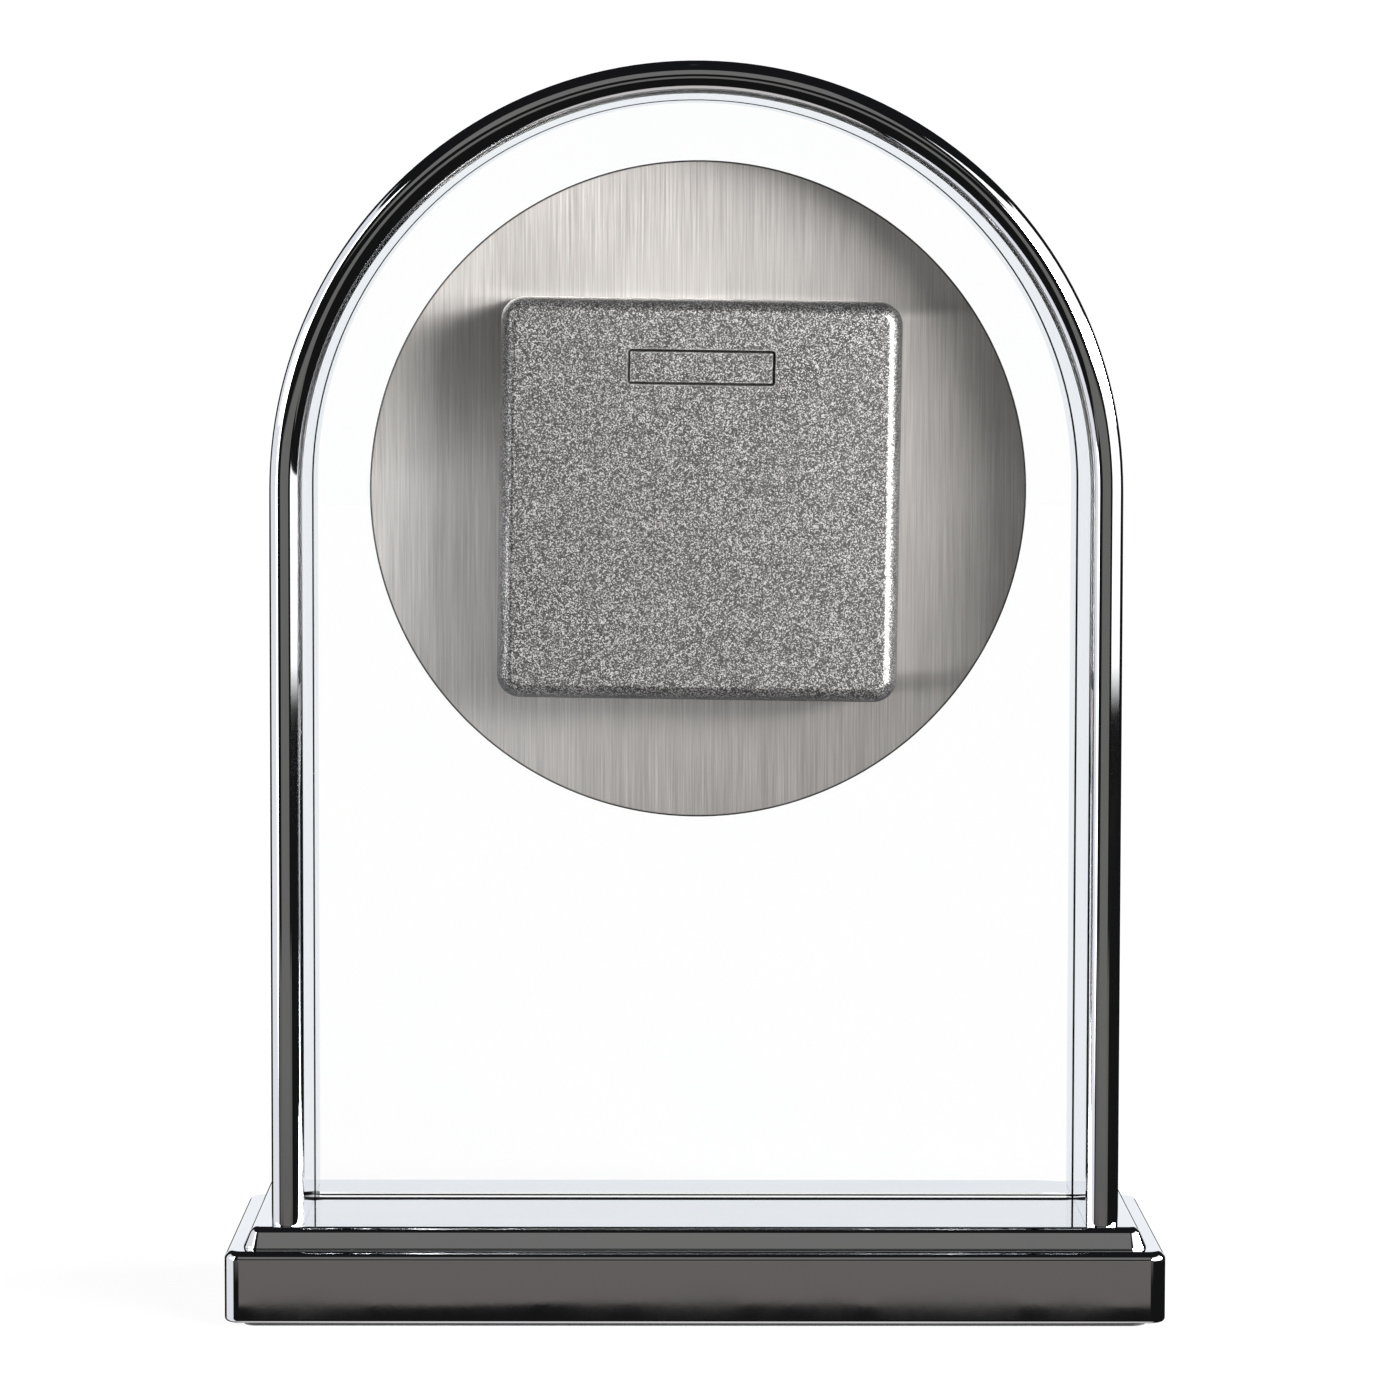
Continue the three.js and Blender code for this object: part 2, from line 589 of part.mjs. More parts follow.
function unitsDrum() {
  const driver = gear(TEETH.unitsToTens.driver, GEARS_X.unitsDriver, TRANSFER_DEG);
  const end = gear(TEETH.unitsEnd, GEARS_X.unitsEnd, END_TOOTH_DEG);
  return drumSolid(UNITS, GEARS_X.unitsDriver[1], HUB_END.right, [driver, end]);
}

function transferGear(teeth, wheelX, pinionX) {
  const back = TRANSFER_DEG + 180;
  return doubleGear(teeth.wheel, wheelX, teeth.pinion, pinionX, back, back, 'tooth');
}

function reductionGear() {
  return doubleGear(TEETH.reductionWheel, GEARS_X.endWheel, TEETH.reductionPinion, GEARS_X.endPinion,
    MOTOR_DEG, REDUCTION_DEG + 180, 'gap');
}

function motorPinion() {
  const [x0, x1] = GEARS_X.endWheel;
  const pinion = gear(TEETH.motorPinion, [x0 - WHEEL_MARGIN, x1 + WHEEL_MARGIN], MOTOR_DEG + 180);
  return pinion.add(barX(MOTOR.shaftFrom, x1, [0, 0], MOTOR.shaft, SIDES.stub));
}

function gearMotor() {
  const [, z] = MOTOR_AT;
  const { radius, x0, x1 } = MOTOR;
  const can = barX(x0, x1, [0, 0], radius, SIDES.wheel);
  const foot = box([x0, -radius, -INNER_HALF - z + FIT], [x1, radius, 0]);
  return can.add(foot).subtract(barX(MOTOR.shaftFrom - MOTOR.shaftGap, x1 + PAST, [0, 0], MOTOR.bore, SIDES.stub));
}

// how far the end gear's nearest tooth is turned away from the line to the setting wheel
function settingGapDeg() {
  const step = 360 / TEETH.unitsEnd;
  const away = (SETTING_DEG - END_TOOTH_DEG) % step;
  return SETTING_DEG + 180 + away * TEETH.unitsEnd / TEETH.setting;
}

function settingWheel() {
  const toothed = gear(TEETH.setting, GEARS_X.endPinion, settingGapDeg(), 'gap');
  const points = [];
  for (let i = 0; i < 2 * THUMBWHEEL.notches; i += 1) {
    const radius = THUMBWHEEL.radius - (i % 2) * THUMBWHEEL.depth;
    const angle = i * Math.PI / THUMBWHEEL.notches;
    points.push(new THREE.Vector2(radius * Math.cos(angle), radius * Math.sin(angle)));
  }
  const rim = plateX(new THREE.Shape(points), GEARS_X.endWheel[0], GEARS_X.endWheel[1] + WHEEL_MARGIN);
  return toothed.add(rim).subtract(boreX(STUB.bore, SIDES.stub));
}

function battery() {
  const { at, radius, x0, x1, nub, nubRadius } = BATTERY;
  const positiveEnd = barX(x0 - nub, x0 + OVERLAP, at, nubRadius, SIDES.nub);
  return barX(x0, x1, at, radius, SIDES.wheel).add(positiveEnd);
}

function contactPlate(x0) {
  const [y, z] = BATTERY.at;
  const { half, thickness } = CONTACT;
  return box([x0, y - half, z - half], [x0 + thickness, y + half, z + half]);
}

function positiveContact() {
  const x0 = -INNER_HALF + CONTACT.wallGap;
  const tip = BATTERY.x0 - BATTERY.nub - CONTACT.batteryGap;
  const dimple = barX(x0, tip, BATTERY.at, CONTACT.dimple, SIDES.stub);
  return contactPlate(x0).add(dimple);
}

// turns of the spring drawn as rings that get narrower towards the battery
function negativeContact() {
  const x1 = INNER_HALF - CONTACT.wallGap;
  const start = BATTERY.x1 + CONTACT.batteryGap;
  const pitch = (x1 - CONTACT.thickness - start) / SPRING.turns;
  let solid = contactPlate(x1 - CONTACT.thickness);
  solid = solid.add(barX(start, x1 - CONTACT.thickness / 2, BATTERY.at, SPRING.core, SIDES.stub));
  for (let i = 0; i < SPRING.turns; i += 1) {
    const from = start + i * pitch;
    const radius = SPRING.narrow + SPRING.widen * i;
    solid = solid.add(barX(from, from + pitch * SPRING.wire, BATTERY.at, radius, SIDES.stub));
  }
  return solid;
}

function circuitBoard() {
  const { low, thickness, y0, y1, half } = BOARD;
  const top = low + thickness;
  const board = box([-half, y0, low], [half, y1, top]);
  const inside = low + thickness / 2;
  const chip = box([CHIP.x0, y0 + CHIP.edge, inside], [CHIP.x1, y1 - CHIP.edge, top + CHIP.high]);
  const crystal = box([CRYSTAL.x0, CRYSTAL.y0, inside], [CRYSTAL.x1, CRYSTAL.y1, top + CRYSTAL.high]);
  return board.add(chip).add(crystal);
}

// a sprung strip above the drums, with one finger for each standing leaf
function leafCatch() {
  const { y0, y1, half, low, fingerLow, fingerHalf } = CATCH;
  let strip = box([-half, y0, low], [half, y1, INNER_HALF - FIT]);
  for (const { x0, x1 } of DRUMS) {
    const middle = (x0 + x1) / 2;
    strip = strip.add(box([middle - fingerHalf, y0, fingerLow], [middle + fingerHalf, y1, low + OVERLAP]));
  }
  return strip;
}

function drumAxle() {
  return barX(-AXLE.reach, AXLE.reach, [0, 0], AXLE.radius, SIDES.axle);
}

const atPlace = ([y, z]) => [0, y, z];

addPiece(movement, 'movement_chassis', chassis(), MATERIALS.blackPlastic);
addPiece(movement, 'drum_axle', drumAxle(), MATERIALS.steel);
addPiece(movement, 'hours_drum', hoursDrum(), MATERIALS.blackPlastic);
addPiece(movement, 'tens_drum', tensDrum(), MATERIALS.blackPlastic);
addPiece(movement, 'units_drum', unitsDrum(), MATERIALS.blackPlastic);
addPiece(movement, 'hours_bridge', bridge(GEARS_X.hoursBridge, BRIDGE_HOLE.hours, GEARS_X.hoursPinion[0]),
  MATERIALS.blackPlastic);
addPiece(movement, 'tens_bridge', bridge(GEARS_X.tensBridge, BRIDGE_HOLE.tens, GEARS_X.tensPinion[0]),
  MATERIALS.blackPlastic);
const hoursTransfer = transferGear(TEETH.tensToHours, GEARS_X.hoursWheel, GEARS_X.hoursPinion);
const tensTransfer = transferGear(TEETH.unitsToTens, GEARS_X.tensWheel, GEARS_X.tensPinion);
addPiece(movement, 'hours_transfer_gear', hoursTransfer, MATERIALS.whitePlastic, atPlace(TRANSFER_AT));
addPiece(movement, 'tens_transfer_gear', tensTransfer, MATERIALS.whitePlastic, atPlace(TRANSFER_AT));
addPiece(movement, 'reduction_gear', reductionGear(), MATERIALS.whitePlastic, atPlace(REDUCTION_AT));
addPiece(movement, 'motor_pinion', motorPinion(), MATERIALS.brass, atPlace(MOTOR_AT));
addPiece(movement, 'gear_motor', gearMotor(), MATERIALS.steel, atPlace(MOTOR_AT));
addPiece(movement, 'setting_wheel', settingWheel(), MATERIALS.blackPlastic, atPlace(SETTING_AT));
addPiece(movement, 'battery', battery(), MATERIALS.battery);
addPiece(movement, 'battery_contact_positive', positiveContact(), MATERIALS.steel);
addPiece(movement, 'battery_contact_negative', negativeContact(), MATERIALS.steel);
addPiece(movement, 'circuit_board', circuitBoard(), MATERIALS.board);
addPiece(movement, 'leaf_catch', leafCatch(), MATERIALS.steel);

for (const drum of DRUMS) {
  leafPins(drum).forEach(({ at, turnDeg }, index) => {
    const name = `${drum.name}_leaf_${String(index + 1).padStart(2, '0')}`;
    const leaf = addPiece(movement, name, leafSolid(drum), MATERIALS.blackPlastic, atPlace(at));
    leaf.rotation.x = turnDeg * RAD;
  });
}

export default clock;
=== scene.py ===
"""Looks for the flip number clock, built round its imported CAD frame.

Sizes below are in millimetres and become metres when a mesh is made. +Z is up, the numbers face -Y
and the square battery cover faces +Y.
"""
import math

import bmesh
import bpy
from mathutils import Matrix, Vector


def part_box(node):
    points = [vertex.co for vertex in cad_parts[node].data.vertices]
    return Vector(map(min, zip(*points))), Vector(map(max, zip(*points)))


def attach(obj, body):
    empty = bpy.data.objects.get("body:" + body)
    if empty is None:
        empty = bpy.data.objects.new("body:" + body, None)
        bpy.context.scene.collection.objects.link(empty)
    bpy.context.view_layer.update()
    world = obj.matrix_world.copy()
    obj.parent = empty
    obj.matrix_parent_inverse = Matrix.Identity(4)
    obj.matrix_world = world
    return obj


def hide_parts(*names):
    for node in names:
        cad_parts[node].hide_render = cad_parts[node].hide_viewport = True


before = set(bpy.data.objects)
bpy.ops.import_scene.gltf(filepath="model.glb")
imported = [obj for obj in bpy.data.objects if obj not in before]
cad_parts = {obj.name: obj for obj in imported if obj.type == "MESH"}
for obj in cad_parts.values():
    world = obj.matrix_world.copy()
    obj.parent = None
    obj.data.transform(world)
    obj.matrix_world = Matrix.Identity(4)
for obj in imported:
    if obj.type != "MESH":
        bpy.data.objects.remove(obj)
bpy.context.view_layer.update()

MM = 0.001

# ---------------------------------------------------------------- sizes

CORNER_STEPS = 12                 # facets in each rounded corner, seen from above
EDGE_STEPS = 8                    # facets in each rounded rim
PATH_STEP = 2.0                   # length of one facet along the arch
SMOOTH_ANGLE = math.radians(35)   # edges sharper than this stay sharp
WELD_DISTANCE = 0.001 * MM        # closer points than this are one point on a CAD mesh
LOFT_WELD_DISTANCE = 0.0001 * MM  # and closer than this on a loft
LEAST_CORNER = 0.02               # the smallest corner that still keeps its points apart
DRILL_STEPS = 8                   # facets in each quarter of a drilled hole
OVERSHOOT = 1.0                   # how far a drill reaches past a surface

SLAB = {"corner": 2.6, "inner_corner": 1.6, "low_edge": 0.6, "high_edge": 1.2, "wall": 2.0}
STEP = {"corner": 2.6, "slope_deg": 24, "foot_break": 0.8, "rim_break": 1.3}
PAD = {"corner": 2.0, "edge": 0.15}
SCREW = {"x": 57.875, "y": 9.0, "hole": 1.4, "foot_depth": 12.0}
ARCH = {"wall": 4.65, "edge": 2.3, "centre_z": 118.3}
GROOVE = {"front": -8.6, "rear": -3.2, "radius": 57.7}
GLASS_EDGE = 0.3
OPENING = {"x": -0.4, "z": 116.6, "half": 26.5}
# the disc's rim: edge is its rounding, and the next width is how far in from the outline shade is painted
# darker round the cut edge
DISC = {"edge": 0.15, "shaded_rim": 0.3, "facets": 192}
BRUSH_MAP = "sideways"            # UV map whose first axis runs across the disc's brush lines
COVER = {"corner": 3.4, "edge": 2.2, "edge_depth": 4.4, "wall": 1.5, "tilt_deg": -0.75, "size": 57.0,
         "centre": (-0.46, 116.7)}
GRIP = {
    # (inwards from the outline, down from the cover's face): a narrow trench round a shallow floor
    "width": 20.7, "height": 4.8, "corner": 0.4, "up": 18.8,
    "trench": ((-0.12, 0.0), (0.0, 0.4), (0.12, 0.6), (0.3, 0.3)),
}
BEZEL = {
    # (outwards from the window, down from the bezel's face): the window's rounded rim
    "corner": 3.0, "edge": 1.6, "wall": 1.5, "plate": 1.5, "window": (47.6, 22.4), "window_corner": 1.5,
    "window_rim": ((0.5, 0.0), (0.15, 0.15), (0.0, 0.5)),
}
LENS = {"corner": 0.6, "edge": 0.25}
BOARD = {"parts_above": 1.3, "crystal_from_x": 4.0}
BROKEN_EDGE = {"leaf_plastic": 0.04}      # bevel on a CAD node's edges, by slot
USUAL_BROKEN_EDGE = 0.08
BEVEL_STEPS = 2

MOVEMENT = Vector((-0.4, -1.5, 116.6))    # the drum axle
PIN_CIRCLE = 4.5
LEAF_THICKNESS = 0.3
DRUMS = {
    # numbers shown by leaf 1, leaf 2 and so on; pin_deg is where the standing leaf's pin sits, and tail
    # is how far a leaf reaches past its pin
    "hours": {"x": (-23.2, -7.2), "pin_deg": 2, "tail": 0.2,
              "numbers": ["10", "11", "12", "1", "2", "3", "4", "5", "6", "7", "8", "9"]},
    "tens": {"x": (-1.6, 7.4), "pin_deg": 20, "tail": 1.4, "numbers": ["0", "1", "2", "3", "4", "5"]},
    "units": {"x": (13.0, 22.0), "pin_deg": 8, "tail": 0.5,
              "numbers": ["8", "9", "0", "1", "2", "3", "4", "5", "6", "7"]},
}
NUMBER = {"height": 15.0, "centre_z": -0.9, "raise": 0.03, "lift": 0.002, "side_margin": 0.6,
          "split_margin": 0.2}
TYPE = {"weight": 0.035, "extrude": 0.5, "weld": 1e-5, "curve_steps": 6}    # in the type's own units

CAMERA = {"at": (5.60, 776.09, 145.42), "lens": 139.33, "sensor": 36.0, "nearest": 10.0,
          "pitch_deg": 4.228, "yaw_deg": -0.4067, "roll_deg": 0.1076}
FLOOR = {"radius": 3000.0, "sides": 96, "paint": 0.06, "glow": 0.95}


# ---------------------------------------------------------------- mesh building

def box_mm(node):
    """Lowest and highest corner of a CAD node, in millimetres."""
    low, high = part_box(node)
    return low / MM, high / MM


def rounded_ring(width, depth, corner, z=0.0, steps=CORNER_STEPS):
    """Points of a rounded rectangle round the origin at height z, anticlockwise."""
    corner = max(corner, LEAST_CORNER)
    points = []
    for quarter, (sx, sy) in enumerate(((1, 1), (-1, 1), (-1, -1), (1, -1))):
        for i in range(steps + 1):
            angle = (quarter + i / steps) * math.pi / 2
            x = sx * (width / 2 - corner) + corner * math.cos(angle)
            y = sy * (depth / 2 - corner) + corner * math.sin(angle)
            points.append((x, y, z))
    return points


def quarter_round(radius, rising):
    """(height, inset) pairs of a quarter round: from a flat end to a side if rising, else back again."""
    pairs = []
    for i in range(EDGE_STEPS + 1):
        turn = i / EDGE_STEPS * math.pi / 2
        pairs.append((radius * (1 - math.cos(turn)), radius * (1 - math.sin(turn))))
    return pairs if rising else [(-height, inset) for height, inset in reversed(pairs)]


def block_rings(width, depth, corner, low, high, low_edge, high_edge):
    """Rings of a standing block whose lower and upper rims are rounded."""
    levels = [(low + height, inset) for height, inset in quarter_round(low_edge, True)]
    levels += [(high + height, inset) for height, inset in quarter_round(high_edge, False)]
    return [rounded_ring(width - 2 * inset, depth - 2 * inset, corner - inset, z) for z, inset in levels]


def loft(name, rings, placement=None, closed=False):
    """A mesh that joins rings of equally many points. Its ends are capped unless it closes on itself."""
    placement = placement or Matrix.Identity(4)
    bm = bmesh.new()
    rows = [[bm.verts.new(placement @ Vector(point) * MM) for point in ring] for ring in rings]
    pairs = list(zip(rows, rows[1:]))
    if closed:
        pairs.append((rows[-1], rows[0]))
    for row, following in pairs:
        for i in range(len(row)):
            j = (i + 1) % len(row)
            bm.faces.new((row[i], row[j], following[j], following[i]))
    if not closed:
        bm.faces.new(list(reversed(rows[0])))
        bm.faces.new(rows[-1])
    bmesh.ops.remove_doubles(bm, verts=bm.verts, dist=LOFT_WELD_DISTANCE)
    bmesh.ops.recalc_face_normals(bm, faces=bm.faces)
    mesh = bpy.data.meshes.new(name)
    bm.to_mesh(mesh)
    bm.free()
    mesh.shade_smooth()
    mesh.set_sharp_from_angle(angle=SMOOTH_ANGLE)
    return mesh


def add_piece(name, mesh, body, slot, replaced=None):
    """A visible piece that rides on a CAD body, takes a slot's finish and may stand for a CAD node."""
    piece = bpy.data.objects.new(name, mesh)
    bpy.context.scene.collection.objects.link(piece)
    piece.data.materials.append(MATERIALS[slot])
    weighted = piece.modifiers.new("face_weighted_normals", "WEIGHTED_NORMAL")
    weighted.keep_sharp = True
    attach(piece, body)
    if replaced:
        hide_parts(replaced)
    return piece


def drill(mesh, holes):
    """Cuts round upright holes, each (x, y, radius, low, high), out of a mesh."""
    part = bpy.data.objects.new("drilled", mesh)
    bpy.context.scene.collection.objects.link(part)
    drills = []
    for x, y, radius, low, high in holes:
        circle = rounded_ring(2 * radius, 2 * radius, radius, steps=DRILL_STEPS)
        rings = [[(x + a, y + b, z) for a, b, _ in circle] for z in (low, high)]
        bit = bpy.data.objects.new("drill", loft("drill", rings))
        bpy.context.scene.collection.objects.link(bit)
        cut = part.modifiers.new("hole", "BOOLEAN")
        cut.object = bit
        cut.operation = "DIFFERENCE"
        cut.solver = "EXACT"
        drills.append(bit)
    evaluated = part.evaluated_get(bpy.context.evaluated_depsgraph_get())
    result = bpy.data.meshes.new_from_object(evaluated)
    for used in [part, *drills]:
        bpy.data.objects.remove(used)
    return result


# ---------------------------------------------------------------- shader nodes

NOISE_SPAN = (0.3, 0.7)   # nearly all the values of a noise texture lie between these
EDGE_SPAN = (0.98, 0.8)   # cosines of the angle to a rounded normal, where an edge starts and is full


def grey(level):
    """A neutral colour."""
    return (level, level, level)


def new_material(name, **settings):
    """A material with a Principled shader whose own sockets are set from settings."""
    material = bpy.data.materials.new(name)
    material.use_nodes = True
    tree = material.node_tree
    shader = tree.nodes["Principled BSDF"]
    for key, value in settings.items():
        shader.inputs[key.replace("_", " ")].default_value = value
    return material, tree, shader


def add_node(tree, kind, inputs=None, **settings):
    """A node with its settings, and its inputs given as values or as sockets to link."""
    made = tree.nodes.new(kind)
    for key, value in settings.items():
        setattr(made, key, value)
    for key, value in (inputs or {}).items():
        if isinstance(value, bpy.types.NodeSocket):
            tree.links.new(value, made.inputs[key])
        else:
            made.inputs[key].default_value = value
    return made


def math_node(tree, operation, *values, clamp=False):
    """A value worked out from others, each given as a number or as a socket."""
    inputs = dict(enumerate(values))
    return add_node(tree, "ShaderNodeMath", inputs, operation=operation, use_clamp=clamp).outputs[0]


def add(tree, first, second):
    """The sum of two values."""
    return math_node(tree, "ADD", first, second)


def multiply(tree, first, second):
    """The product of two values."""
    return math_node(tree, "MULTIPLY", first, second)


def on_object(tree):
    """The point on the object, in metres."""
    return add_node(tree, "ShaderNodeTexCoord").outputs["Object"]


def place(tree, stretch=(1.0, 1.0, 1.0)):
    """The point on the object in metres, stretched along each axis."""
    inputs = {"Vector": on_object(tree), "Scale": stretch}
    return add_node(tree, "ShaderNodeMapping", inputs).outputs["Vector"]


def noise(tree, vector, scale, detail=4.0, rough=0.55, distortion=0.0):
    """A noise pattern. Its scale is how many features fit in one metre of the vector."""
    return add_node(tree, "ShaderNodeTexNoise", {
        "Vector": vector, "Scale": scale, "Detail": detail, "Roughness": rough,
        "Distortion": distortion}).outputs["Fac"]


def weighted(tree, first, second, share):
    """Two patterns added together: the first by its share, the second by the rest."""
    return add(tree, multiply(tree, first, share), multiply(tree, second, 1 - share))


def remap(tree, value, low, high, to_low, to_high):
    """A value moved from one range to another, and held at the new range's ends."""
    return add_node(tree, "ShaderNodeMapRange", {
        "Value": value, "From Min": low, "From Max": high,
        "To Min": to_low, "To Max": to_high}).outputs["Result"]


def over_noise(tree, pattern, start, end):
    """A value that runs from start to end over a noise pattern."""
    return remap(tree, pattern, *NOISE_SPAN, start, end)


def ramp(tree, factor, stops, interpolation="LINEAR"):
    """A colour ramp through (position, colour) stops."""
    made = add_node(tree, "ShaderNodeValToRGB", {"Fac": factor})
    made.color_ramp.interpolation = interpolation
    elements = made.color_ramp.elements
    while len(elements) < len(stops):
        elements.new(0.5)
    for element, (position, colour) in zip(elements, stops):
        element.position = position
        element.color = (*colour, 1.0)
    return made.outputs["Color"]


def two_tone(tree, pattern, dark, light):
    """A colour that runs from dark to light over a noise pattern."""
    low, high = NOISE_SPAN
    return ramp(tree, pattern, [(low, dark), (high, light)])


def mix(tree, factor, first, second):
    """The first colour where the factor is 0, and the second where it is 1."""
    made = add_node(tree, "ShaderNodeMix", data_type="RGBA")
    for index, value in ((0, factor), (6, first), (7, second)):
        if isinstance(value, bpy.types.NodeSocket):
            tree.links.new(value, made.inputs[index])
        else:
            made.inputs[index].default_value = value if index == 0 else (*value, 1.0)
    return made.outputs[2]


def bump(tree, height, depth, strength=1.0, normal=None):
    """A normal tilted by a height pattern whose full depth is given in millimetres."""
    inputs = {"Height": height, "Distance": depth * MM, "Strength": strength}
    if normal is not None:
        inputs["Normal"] = normal
    return add_node(tree, "ShaderNodeBump", inputs).outputs["Normal"]


def edge_mask(tree, radius):
    """1 on edges and corners, 0 on flat faces."""
    rounded = add_node(tree, "ShaderNodeBevel", {"Radius": radius * MM}, samples=4).outputs["Normal"]
    straight = add_node(tree, "ShaderNodeNewGeometry").outputs["Normal"]
    along = add_node(tree, "ShaderNodeVectorMath", {0: rounded, 1: straight}, operation="DOT_PRODUCT")
    return remap(tree, along.outputs["Value"], *EDGE_SPAN, 0.0, 1.0)


def worn_edges(tree, tint, bare, radius, share):
    """The tint, with a share of the bare colour showing through on the edges."""
    return mix(tree, multiply(tree, edge_mask(tree, radius), share), tint, bare)


def set_surface(tree, shader, colour, roughness, normal):
    """Links the three inputs that vary over every material."""
    tree.links.new(colour, shader.inputs["Base Color"])
    tree.links.new(roughness, shader.inputs["Roughness"])
    tree.links.new(normal, shader.inputs["Normal"])


def let_through(tree, shader, share):
    """Mixes a share of plain transparency into a material."""
    passing = add_node(tree, "ShaderNodeBsdfTransparent")
    both = add_node(tree, "ShaderNodeMixShader", {0: share, 1: shader.outputs[0], 2: passing.outputs[0]})
    tree.links.new(both.outputs[0], tree.nodes["Material Output"].inputs["Surface"])


# ---------------------------------------------------------------- materials

def chrome():
    """Polished plating: nearly a mirror, with faint smears, hairline wipe marks and slight waves."""
    material, tree, shader = new_material("chrome", Metallic=1.0)
    smear = noise(tree, place(tree, (1, 1, 0.6)), 45, 5, 0.6, 0.8)
    hairline = noise(tree, place(tree, (60, 900, 60)), 12, 2)
    waves = bump(tree, noise(tree, place(tree), 60, 1), 0.004)
    colour = two_tone(tree, smear, (0.82, 0.845, 0.88), (0.86, 0.88, 0.91))
    worn = multiply(tree, edge_mask(tree, 0.4), 0.03)
    rough = add(tree, remap(tree, smear, 0.35, 0.75, 0.015, 0.05), worn)
    set_surface(tree, shader, colour, rough, bump(tree, hairline, 0.0002, 1.0, waves))
    return material


def rim_shade_mask(tree):
    """Where shade is painted on the disc: 0 over the backing disc, rising to 1 at its cut edge."""
    low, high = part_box("backing_disc")
    centre = ((low.x + high.x) / 2, low.y, (low.z + high.z) / 2)
    radius = (high.x - low.x) / 2
    reach = add_node(tree, "ShaderNodeVectorMath", {0: on_object(tree), 1: centre}, operation="DISTANCE")
    shade_from = radius - DISC["shaded_rim"] * MM
    shade_to = radius - DISC["edge"] * MM
    return remap(tree, reach.outputs["Value"], shade_from, shade_to, 0.0, 1.0)


def brushed_steel():
    """Stainless sheet brushed upwards: reflections spread sideways, and painted shade darkens a thin line
    round its cut edge.
    """
    material, tree, shader = new_material("brushed_steel", Metallic=1.0, Anisotropic=1.0)
    fine = noise(tree, place(tree, (4200, 4200, 60)), 1, 3, 0.6)
    broad = noise(tree, place(tree, (700, 700, 9)), 1, 3, 0.6)
    cloud = noise(tree, place(tree), 30, 3)
    dark, middle, light = (0.60, 0.58, 0.565), (0.72, 0.70, 0.68), (0.85, 0.83, 0.81)
    tint = ramp(tree, weighted(tree, fine, broad, 0.75), [(0.34, dark), (0.5, middle), (0.66, light)])
    # painted shade: a thin dark line painted round the disc's cut edge
    colour = mix(tree, rim_shade_mask(tree), tint, (0.09, 0.088, 0.085))
    rough = add(tree, over_noise(tree, cloud, 0.36, 0.40), over_noise(tree, fine, -0.03, 0.03))
    set_surface(tree, shader, colour, rough, bump(tree, fine, 0.008, 0.5))
    sideways = add_node(tree, "ShaderNodeTangent", direction_type="UV_MAP", uv_map=BRUSH_MAP)
    tree.links.new(sideways.outputs["Tangent"], shader.inputs["Tangent"])
    return material


def cover_silver():
    """Silver paint on a sandy mould texture. It is rubbed on the edges, and shade is painted darker into the
    recess and other tight corners.
    """
    material, tree, shader = new_material("cover_silver", Metallic=0.9)
    at = place(tree)
    grain = noise(tree, at, 6200, 2, 0.6)
    cells = add_node(tree, "ShaderNodeTexVoronoi", {"Vector": at, "Scale": 6400.0}).outputs["Color"]
    flake = add_node(tree, "ShaderNodeSeparateColor", {"Color": cells}).outputs["Red"]
    sparkle = weighted(tree, grain, flake, 0.6)
    tint = ramp(tree, sparkle, [(0.34, grey(0.07)), (0.54, grey(0.12)), (0.68, grey(0.50))])
    rubbed = worn_edges(tree, tint, (0.8, 0.8, 0.79), 0.5, 0.35)
    # painted shade: an ambient occlusion mask darkens the colour in the recess's trench and other tight
    # corners
    open_to_air = add_node(tree, "ShaderNodeAmbientOcclusion", {"Distance": 0.5 * MM}, samples=8)
    recess_shade = remap(tree, open_to_air.outputs["AO"], 0.55, 0.85, 0.7, 0.0)
    colour = mix(tree, recess_shade, rubbed, grey(0.03))
    rough = remap(tree, flake, 0, 1, 0.28, 0.46)
    set_surface(tree, shader, colour, rough, bump(tree, grain, 0.06, 0.8))
    return material


def clear_glass():
    """Clear sheet, faintly smeared, that lets light through to what stands behind it."""
    material, tree, shader = new_material("clear_glass", Transmission_Weight=1.0, IOR=1.5)
    smear = noise(tree, place(tree), 40, 4, 0.6, 0.6)
    colour = two_tone(tree, smear, (0.985, 0.995, 0.995), grey(1.0))
    rough = remap(tree, smear, 0.55, 0.8, 0.0, 0.012)
    set_surface(tree, shader, colour, rough, bump(tree, noise(tree, place(tree), 25, 1), 0.002))
    let_through(tree, shader, add_node(tree, "ShaderNodeLightPath").outputs["Is Shadow Ray"])
    return material


def moulded(name, dark, light, edge, low_rough, high_rough):
    """Moulded plastic: spark-eroded grain, slight shade changes and edges polished by handling."""
    material, tree, shader = new_material(name)
    grain = noise(tree, place(tree), 5200, 2)
    tint = two_tone(tree, noise(tree, place(tree), 90, 4), dark, light)
    worn = edge_mask(tree, 0.2)
    colour = mix(tree, multiply(tree, worn, 0.5), tint, edge)
    rough = math_node(tree, "SUBTRACT", over_noise(tree, grain, low_rough, high_rough),
                      multiply(tree, worn, 0.1))
    set_surface(tree, shader, colour, rough, bump(tree, grain, 0.015, 0.6))
    return material


def bright_steel():
    """Plain turned and stamped steel with tool marks."""
    material, tree, shader = new_material("bright_steel", Metallic=1.0)
    marks = noise(tree, place(tree, (1, 1, 14)), 420, 3)
    tint = two_tone(tree, noise(tree, place(tree), 160, 4), (0.46, 0.45, 0.44), (0.66, 0.65, 0.64))
    colour = worn_edges(tree, tint, (0.85, 0.84, 0.83), 0.15, 0.6)
    set_surface(tree, shader, colour, over_noise(tree, marks, 0.2, 0.38), bump(tree, marks, 0.008, 0.5))
    return material


